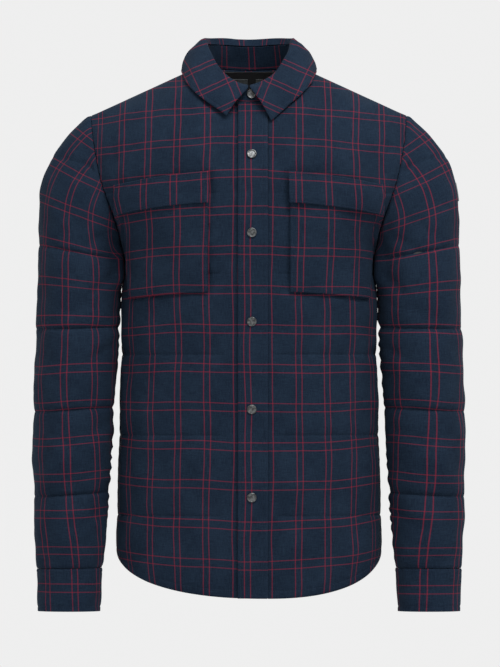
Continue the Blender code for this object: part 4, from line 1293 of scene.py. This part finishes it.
class OVERSHIRT_OT_placket(Operator):
    """Makes the front band that carries the snaps"""

    bl_idname = "overshirt.placket"
    bl_label = "Placket"

    def execute(self, context):
        levels = np.clip(body_levels(PLACKET_ROWS), HEM_FRONT + 0.5, -0.5)
        cols, rows = np.meshgrid(np.linspace(0.0, 1.0, 31), levels)
        base = placket_point(cols, rows)
        x, z = base[..., 0], base[..., 2]
        normal = normals_of(base, False, spine(base))
        across = arc_along(base, 1)
        from_seam = across[:, -1:] - across
        up = arc_along(base, 0)
        edge = to_edges(across, up)
        lift = 0.28 * unevenness(across, z, 2.0) * ease(edge / 5.0) - rounded(edge, 1.5, 0.9)
        lift = lift - 0.8 * close_to(from_seam, 2.0, 0.9) - 0.7 * close_to(from_seam, 8.0, 1.0)
        lift = lift - 0.35 * close_to(across, 4.0, 0.9)
        lift = lift + 0.22 * np.sin(up / 2.9 + 1.4 * np.sin(up / 27.0)) * close_to(from_seam, 5.0, 6.0)
        for height in SNAP_HEIGHTS:
            lift = lift - 0.5 * close_to(np.hypot(x - SNAP_X, z - height), 0.0, 9.0, 4)
        outer = base + normal * (PLACKET_LIFT + PLACKET_THICK + lift)[..., None]
        sway = 0.8 * np.sin(z / 71.0) + 0.5 * np.sin(z / 23.0)
        v_place = read(CHECK_RISE, "level", "place", z) + 0.5 * sway
        form = Form(base, outer, normal, x + 1.75 + sway, v_place)
        sheet_piece(context, "placket_cloth", form, base + normal * PLACKET_LIFT, ("cloth",))
        return {"FINISHED"}


def patch_cloth(context, name, side, shape, lift_off, flap, seed):
    """A patch pocket or its flap: a soft slab with sewn edges, lying on the front."""
    across_share = 1.0 - (1.0 - np.linspace(0.0, 1.0, 73)) ** 1.25
    cols, rows = np.meshgrid(across_share, np.linspace(0.0, 1.0, 30 if flap else 64))
    base = patch_point(side, shape, cols, rows)
    x, z = base[..., 0], base[..., 2]
    normal = normals_of(base, False, stack(0.0, MIDDLE, z))
    across = arc_along(base, 1)
    down = arc_along(base, 0)
    down_share = down / down[-1:]
    edge = to_edges(across, down)
    lift = 0.5 * unevenness(across + 30.0 * seed, z, seed) * ease(edge / 14.0)
    under = lift_off
    if flap:
        under = under + 5.4 * ease(down_share) * (0.8 + 0.2 * np.sin(across / 29.0 + seed))
        lift = lift - 0.45 * close_to(down, 5.5, 1.0) + 0.8 * close_to(down, 15.0, 8.0)
    else:
        lift = lift + 1.5 * np.sin(down_share * math.pi) * ease(edge / 30.0)
        ripple = np.sin(down / 2.9 + 1.5 * np.sin(down / 19.0 + seed))
        lift = lift + 0.25 * ripple * close_to(across, 0.0, 8.0)
    lift = lift - 0.4 * close_to(edge, 2.5, 0.8) - rounded(edge, 1.4, 0.9)
    outer = base + normal * (under + THIN_WALL + lift)[..., None]
    inner = base + normal * np.broadcast_to(under, z.shape)[..., None]
    u_place, v_place = body_pattern(front_across(x, z), z, CHECK_START[side])
    shift = 2.2 if flap else -1.6
    form = Form(base, outer, normal, u_place + shift, v_place + 0.6 * shift)
    return sheet_piece(context, name, form, inner, ("cloth",))


class OVERSHIRT_OT_pockets(Operator):
    """Makes the two patch pockets and their flaps"""

    bl_idname = "overshirt.pockets"
    bl_label = "Pockets and flaps"

    def execute(self, context):
        for name, side, seed in (("left", 1, 1.0), ("right", -1, 2.0)):
            patch_cloth(context, f"pocket_{name}_cloth", side, POCKET, POCKET_LIFT, False, seed)
            patch_cloth(context, f"flap_{name}_cloth", side, FLAP, FLAP_LIFT, True, seed + 2.0)
        return {"FINISHED"}


def neck_place(shape, cols, rows, off):
    """A label's places at a distance from the lining under the neck, and their normals."""
    x = mix(shape["left"], shape["right"], cols)
    u = np.sign(x) * NECK_SHARE * np.arcsin(np.abs(x) / NECK_HALF) / (math.pi / 2)
    step = 0.004
    here = body_point(1, 0.0, u, rows, True)
    side = body_point(1, 0.0, u + step, rows, True) - body_point(1, 0.0, u - step, rows, True)
    up = body_point(1, 0.0, u, rows + 1.0, True) - body_point(1, 0.0, u, rows - 1.0, True)
    normal = np.cross(side, up)
    normal = normal / np.linalg.norm(normal, axis=-1, keepdims=True)
    normal = np.where(normal[..., 1:2] < 0, -normal, normal)
    return here - normal * np.broadcast_to(off, cols.shape)[..., None], -normal


def neck_grid(shape, columns, rows):
    return np.meshgrid(np.linspace(0.0, 1.0, columns), np.linspace(shape["low"], shape["high"], rows))


class OVERSHIRT_OT_labels(Operator):
    """Makes the lining under the neck, the two bare labels on it and the bare tab on the sleeve"""

    bl_idname = "overshirt.labels"
    bl_label = "Lining and labels"

    def execute(self, context):
        cols, rows = neck_grid(BACK_LINING, 61, 46)
        across = mix(BACK_LINING["left"], BACK_LINING["right"], cols)
        creased = 0.5 * np.sin(across / 9.0 + rows / 21.0) + 0.4 * np.sin(across / 4.1 - rows / 13.0)
        under = WALL + LINING_OFF
        lift = LINING_THICK + 0.35 * creased * ease(-rows / 12.0)
        outer, normal = neck_place(BACK_LINING, cols, rows, under + lift)
        inner, _ = neck_place(BACK_LINING, cols, rows, under)
        form = Form(outer, outer, normal, across, rows)
        sheet_piece(context, "back_lining_cloth", form, inner, ("lining",))

        under = WALL + LINING_OFF + LINING_THICK + LABEL_GAP
        for name, tab in (("neck_label", NECK_LABEL), ("size_tab", SIZE_TAB)):
            cols, rows = neck_grid(tab, 25, 25)
            edge = np.minimum(cols, 1.0 - cols) * (tab["right"] - tab["left"])
            lift = 0.075 * np.sin(rows / 7.0) - rounded(edge, 0.8, 0.4) - 0.45 * close_to(edge, 2.4, 0.7)
            outer, normal = neck_place(tab, cols, rows, under + LABEL_THICK + lift)
            inner, _ = neck_place(tab, cols, rows, under)
            form = Form(outer, outer, normal, mix(tab["left"], tab["right"], cols), rows)
            sheet_piece(context, name + "_tape", form, inner, ("tape",))

        cols, rows = np.meshgrid(np.linspace(0.02, 0.20, 17), np.linspace(0.52, 0.66, 25))
        base = sleeve_point(1, cols, rows)
        puff = context.scene.overshirt_padding.sleeve_puff / MM
        channel = puff * crown((rows - CAP_SEAM_SHARE) / (1.0 - CAP_SEAM_SHARE))
        low = sleeve_loft(channel, cols, rows) + SLEEVE_TAB_LIFT
        high = low + LABEL_THICK
        outer = base + stack(high, 0.0, 0.2 * high)
        form = Form(outer, outer, outer * 0.0, arc_along(base, 1), -arc_along(base, 0))
        inner = base + stack(low, 0.0, 0.2 * low)
        sheet_piece(context, "sleeve_tab_tape", form, inner, ("tape",))
        return {"FINISHED"}


# A snap cap's profile, from its middle out over its rolled rim, as shares of its radius and thickness
SNAP_PROFILE = (
    {"out": 0.0, "high": 0.90},
    {"out": 0.30, "high": 0.89},
    {"out": 0.56, "high": 0.86},
    {"out": 0.68, "high": 0.82},
    {"out": 0.74, "high": 0.86},
    {"out": 0.80, "high": 0.96},
    {"out": 0.87, "high": 1.0},
    {"out": 0.94, "high": 0.94},
    {"out": 0.985, "high": 0.74},
    {"out": 1.0, "high": 0.40},
    {"out": 0.99, "high": 0.08},
    {"out": 0.95, "high": 0.0},
)


def snap_cap(context, name, centre, outward, node):
    """A cap with a nearly flat face inside a rolled rim, turned from its profile."""
    mesh = bmesh.new()
    places = [(row["out"] * SNAP_RADIUS * MM, 0.0, row["high"] * SNAP_THICK * MM) for row in SNAP_PROFILE]
    points = [mesh.verts.new(place) for place in places]
    edges = [mesh.edges.new(pair) for pair in zip(points, points[1:])]
    bmesh.ops.spin(mesh, geom=points + edges, cent=(0, 0, 0), axis=(0, 0, 1), angle=2 * math.pi, steps=40,
                   use_merge=True)
    bmesh.ops.remove_doubles(mesh, verts=mesh.verts, dist=1e-6)
    bmesh.ops.holes_fill(mesh, edges=[e for e in mesh.edges if e.is_boundary])
    bmesh.ops.recalc_face_normals(mesh, faces=mesh.faces)
    turn = Vector((0, 0, 1)).rotation_difference(outward).to_matrix().to_4x4()
    bmesh.ops.transform(mesh, matrix=Matrix.Translation(centre * MM) @ turn, verts=mesh.verts)
    return keep(object_from(mesh, name, [material(context, "metal")]), "gunmetal", node)


class OVERSHIRT_OT_snaps(Operator):
    """Makes the six snap caps"""

    bl_idname = "overshirt.snaps"
    bl_label = "Snaps"

    def execute(self, context):
        for number, height in enumerate(SNAP_HEIGHTS, 1):
            levels = (height, height - 5.0, height + 5.0)
            base, low, high = (Vector((SNAP_X, MIDDLE - float(depth(SNAP_X, z, False)), z)) for z in levels)
            out = Vector((1, 0, 0)).cross(high - low).normalized()
            lifted = base + out * (PLACKET_LIFT + PLACKET_THICK - 0.3)
            snap_cap(context, f"snap_{number}_cap", lifted, out, f"snap_{number}")
        stand = Vector(stand_point(np.array(3.0), np.array(0.55)))
        out = Vector((0.0, -1.0, 0.15)).normalized()
        snap_cap(context, "snap_collar_cap", stand + out * 0.3, out, "snap_collar")
        return {"FINISHED"}


# The axis of a piece's grid that runs away from each of its edges, and whether the edge is at its end
EDGES = {
    "first_side": {"axis": 1, "at_end": False},
    "last_side": {"axis": 1, "at_end": True},
    "first_end": {"axis": 0, "at_end": False},
    "last_end": {"axis": 0, "at_end": True},
}


def line_of(form, edge, distance):
    """A line of places on a piece and their normals, at a distance from one of its edges."""
    axis = EDGES[edge]["axis"]
    run = arc_along(form.outer, axis)
    grids = (run, form.outer, form.normal)
    if EDGES[edge]["at_end"]:
        run = run[:, -1:] - run if axis == 1 else run[-1:] - run
        grids = [np.flip(grid, axis) for grid in (run, form.outer, form.normal)]
    if axis == 0:
        grids = [np.swapaxes(grid, 0, 1) for grid in grids]
    run, *values = grids
    return [np.stack([[np.interp(distance, r, line[:, k]) for k in range(3)] for r, line in zip(run, grid)])
            for grid in values]


def sew(mesh, line, trim, stitch):
    """A run of topstitches along a line of places, each a small rounded length of thread."""
    points, normal = line
    run = np.concatenate([[0.0], np.cumsum(np.linalg.norm(np.diff(points, axis=0), axis=-1))])
    pitch = stitch + STITCH_GAP
    for i in range(int((run[-1] - trim[0] - trim[1]) / pitch)):
        at = trim[0] + pitch * (i + 0.5)
        reach = (at - stitch / 2, at + stitch / 2)
        ends = [Vector([np.interp(end, run, points[:, k]) for k in range(3)]) for end in reach]
        out = Vector([np.interp(at, run, normal[:, k]) for k in range(3)]).normalized()
        along = ends[1] - ends[0]
        if along.length < 0.5:
            continue
        side = out.cross(along.normalized()).normalized()
        out = along.normalized().cross(side)
        middle = (ends[0] + ends[1]) / 2 + out * THREAD_LIFT
        axes = Matrix((along / 2, side * THREAD_RADIUS, out * THREAD_RADIUS * 0.8)).transposed().to_4x4()
        matrix = Matrix.Translation(middle * MM) @ Matrix.Scale(MM, 4) @ axes
        bmesh.ops.create_cone(mesh, segments=5, radius1=1.0, radius2=1.0, depth=2.0, cap_ends=True,
                              cap_tris=False, matrix=matrix @ Matrix.Rotation(math.pi / 2, 4, "Y"))


def thread_piece(context, name, runs):
    """One group's topstitching: each run's piece, edge, distance from it and trim at its two ends."""
    stitch = context.scene.overshirt_padding.stitch / MM
    mesh = bmesh.new()
    for piece, edge, distance, trim in runs:
        sew(mesh, line_of(forms[piece], edge, distance), trim, stitch)
    return keep(object_from(mesh, name, [material(context, "thread")], 60), "check_cloth")


class OVERSHIRT_OT_stitching(Operator):
    """Sews the topstitching of the placket, pockets, collar, cuffs and hem"""

    bl_idname = "overshirt.stitching"
    bl_label = "Topstitching"

    def execute(self, context):
        thread_piece(context, "placket_stitching", [
            ("placket_cloth", "last_side", 2.0, (0.0, 0.0)),
            ("placket_cloth", "last_side", 8.0, (0.0, 0.0)),
            ("placket_cloth", "first_side", 4.0, (0.0, 0.0)),
            ("placket_cloth", "first_end", 4.0, (4.0, 2.0)),
        ])
        runs = []
        for side in ("left", "right"):
            pocket, flap = f"pocket_{side}_cloth", f"flap_{side}_cloth"
            for distance in (2.5, 8.5):
                runs += [(pocket, edge, distance, (0.0, distance)) for edge in ("first_side", "last_side")]
                runs.append((pocket, "last_end", distance, (distance, distance)))
            runs += [(flap, edge, 2.5, (2.5, 2.5)) for edge in ("first_side", "last_side", "last_end")]
            runs += [(flap, "first_end", distance, (2.5, 2.5)) for distance in (1.8, 5.5)]
        thread_piece(context, "pocket_stitching", runs)
        thread_piece(context, "collar_stitching", [
            ("collar_fall_cloth", "last_end", 5.5, (5.5, 5.5)),
            ("collar_fall_cloth", "first_side", 5.5, (16.0, 5.5)),
            ("collar_fall_cloth", "last_side", 5.5, (16.0, 5.5)),
            ("collar_stand_cloth", "first_end", 2.5, (2.0, 2.0)),
        ])
        cuffs = ("cuff_left_cloth", "cuff_right_cloth")
        edges = (("last_end", 7.0), ("first_end", 3.0))
        runs = [(cuff, *edge, (0.0, 0.0)) for cuff in cuffs for edge in edges]
        thread_piece(context, "cuff_stitching", runs)
        thread_piece(context, "hem_stitching", [
            ("front_left_cloth", "first_end", 11.0, (2.0, 2.0)),
            ("front_right_cloth", "first_end", 11.0, (34.0, 2.0)),
            ("back_cloth", "first_end", 11.0, (2.0, 2.0)),
        ])
        return {"FINISHED"}


def area_light(context, name, place, aim, size, power):
    data = bpy.data.lights.new(name, "AREA")
    data.shape = "RECTANGLE"
    data.size, data.size_y = size
    data.energy = power
    made = bpy.data.objects.new(name, data)
    made.location = place
    made.rotation_euler = (Vector(aim) - Vector(place)).to_track_quat("-Z", "Y").to_euler()
    context.scene.collection.objects.link(made)


class OVERSHIRT_OT_stage(Operator):
    """Makes the pale floor, the soft lights all round and the camera"""

    bl_idname = "overshirt.stage"
    bl_label = "Studio"

    def execute(self, context):
        stage = context.scene.overshirt_stage
        mesh = bmesh.new()
        bmesh.ops.create_grid(mesh, x_segments=8, y_segments=8, size=stage.floor)
        bmesh.ops.translate(mesh, verts=mesh.verts, vec=(0.0, 0.0, -1.0))
        object_from(mesh, "floor", [floor_material()])

        world = bpy.data.worlds.new("studio_air")
        world.use_nodes = True
        air = world.node_tree.nodes["Background"].inputs
        air["Color"].default_value = (1.0, 1.0, 1.0, 1.0)
        air["Strength"].default_value = stage.air
        context.scene.world = world
        area_light(context, "top_softbox", (0.75, -1.75, 2.3), (0.0, 0.0, -0.2), (1.7, 1.0), stage.key)
        area_light(context, "front_softbox", (0.3, -4.0, 0.5), (0.0, 0.0, -0.35), (3.0, 2.4), stage.fill)
        area_light(context, "left_softbox", (-3.0, -0.6, 0.4), (0.0, 0.0, -0.3), (1.2, 2.2), 0.5 * stage.fill)
        area_light(context, "right_softbox", (3.0, -0.6, 0.6), (0.0, 0.0, -0.3), (1.2, 2.2), 0.8 * stage.fill)

        # The origin lies one pixel left of the picture's middle
        lens = bpy.data.cameras.new("studio_camera")
        lens.sensor_width = 36.0
        lens.lens = lens.sensor_width * (stage.distance - 0.03) / (PICTURE_TALL * PIXEL * MM)
        lens.clip_end = 60.0
        camera = bpy.data.objects.new("studio_camera", lens)
        camera.location = (PIXEL * MM, -stage.distance, (ORIGIN_DOWN - PICTURE_TALL / 2) * PIXEL * MM)
        camera.rotation_euler = (math.pi / 2, 0.0, 0.0)
        context.scene.collection.objects.link(camera)
        context.scene.camera = camera
        context.scene.view_settings.view_transform = "Standard"
        return {"FINISHED"}


class OVERSHIRT_PT_panel(Panel):
    """Lists the garment's pieces and the studio in the 3D view's sidebar"""

    bl_idname = "OVERSHIRT_PT_panel"
    bl_label = "Overshirt"
    bl_space_type = "VIEW_3D"
    bl_region_type = "UI"
    bl_category = "Overshirt"

    def draw(self, context):
        layout = self.layout
        for group in ("overshirt_cloth", "overshirt_padding", "overshirt_trims", "overshirt_stage"):
            settings = getattr(context.scene, group)
            box = layout.box()
            for name in settings.__annotations__:
                box.prop(settings, name)
        for step in STEPS:
            layout.operator(step.bl_idname)


SETTINGS = {
    "overshirt_cloth": Overshirt_Cloth,
    "overshirt_padding": Overshirt_Padding,
    "overshirt_trims": Overshirt_Trims,
    "overshirt_stage": Overshirt_Stage,
}
STEPS = (
    OVERSHIRT_OT_stage,
    OVERSHIRT_OT_body,
    OVERSHIRT_OT_sleeves,
    OVERSHIRT_OT_cuffs,
    OVERSHIRT_OT_collar,
    OVERSHIRT_OT_placket,
    OVERSHIRT_OT_pockets,
    OVERSHIRT_OT_labels,
    OVERSHIRT_OT_snaps,
    OVERSHIRT_OT_stitching,
)


def register():
    for made in (*SETTINGS.values(), *STEPS, OVERSHIRT_PT_panel):
        bpy.utils.register_class(made)
    for name, group in SETTINGS.items():
        setattr(bpy.types.Scene, name, PointerProperty(type=group))


def unregister():
    for name in SETTINGS:
        delattr(bpy.types.Scene, name)
    for made in (OVERSHIRT_PT_panel, *reversed(STEPS), *SETTINGS.values()):
        bpy.utils.unregister_class(made)


def main():
    register()
    bpy.ops.overshirt.stage()
    bpy.ops.overshirt.body()
    bpy.ops.overshirt.sleeves()
    bpy.ops.overshirt.cuffs()
    bpy.ops.overshirt.collar()
    bpy.ops.overshirt.placket()
    bpy.ops.overshirt.pockets()
    bpy.ops.overshirt.labels()
    bpy.ops.overshirt.snaps()
    bpy.ops.overshirt.stitching()


if __name__ == "__main__":
    main()
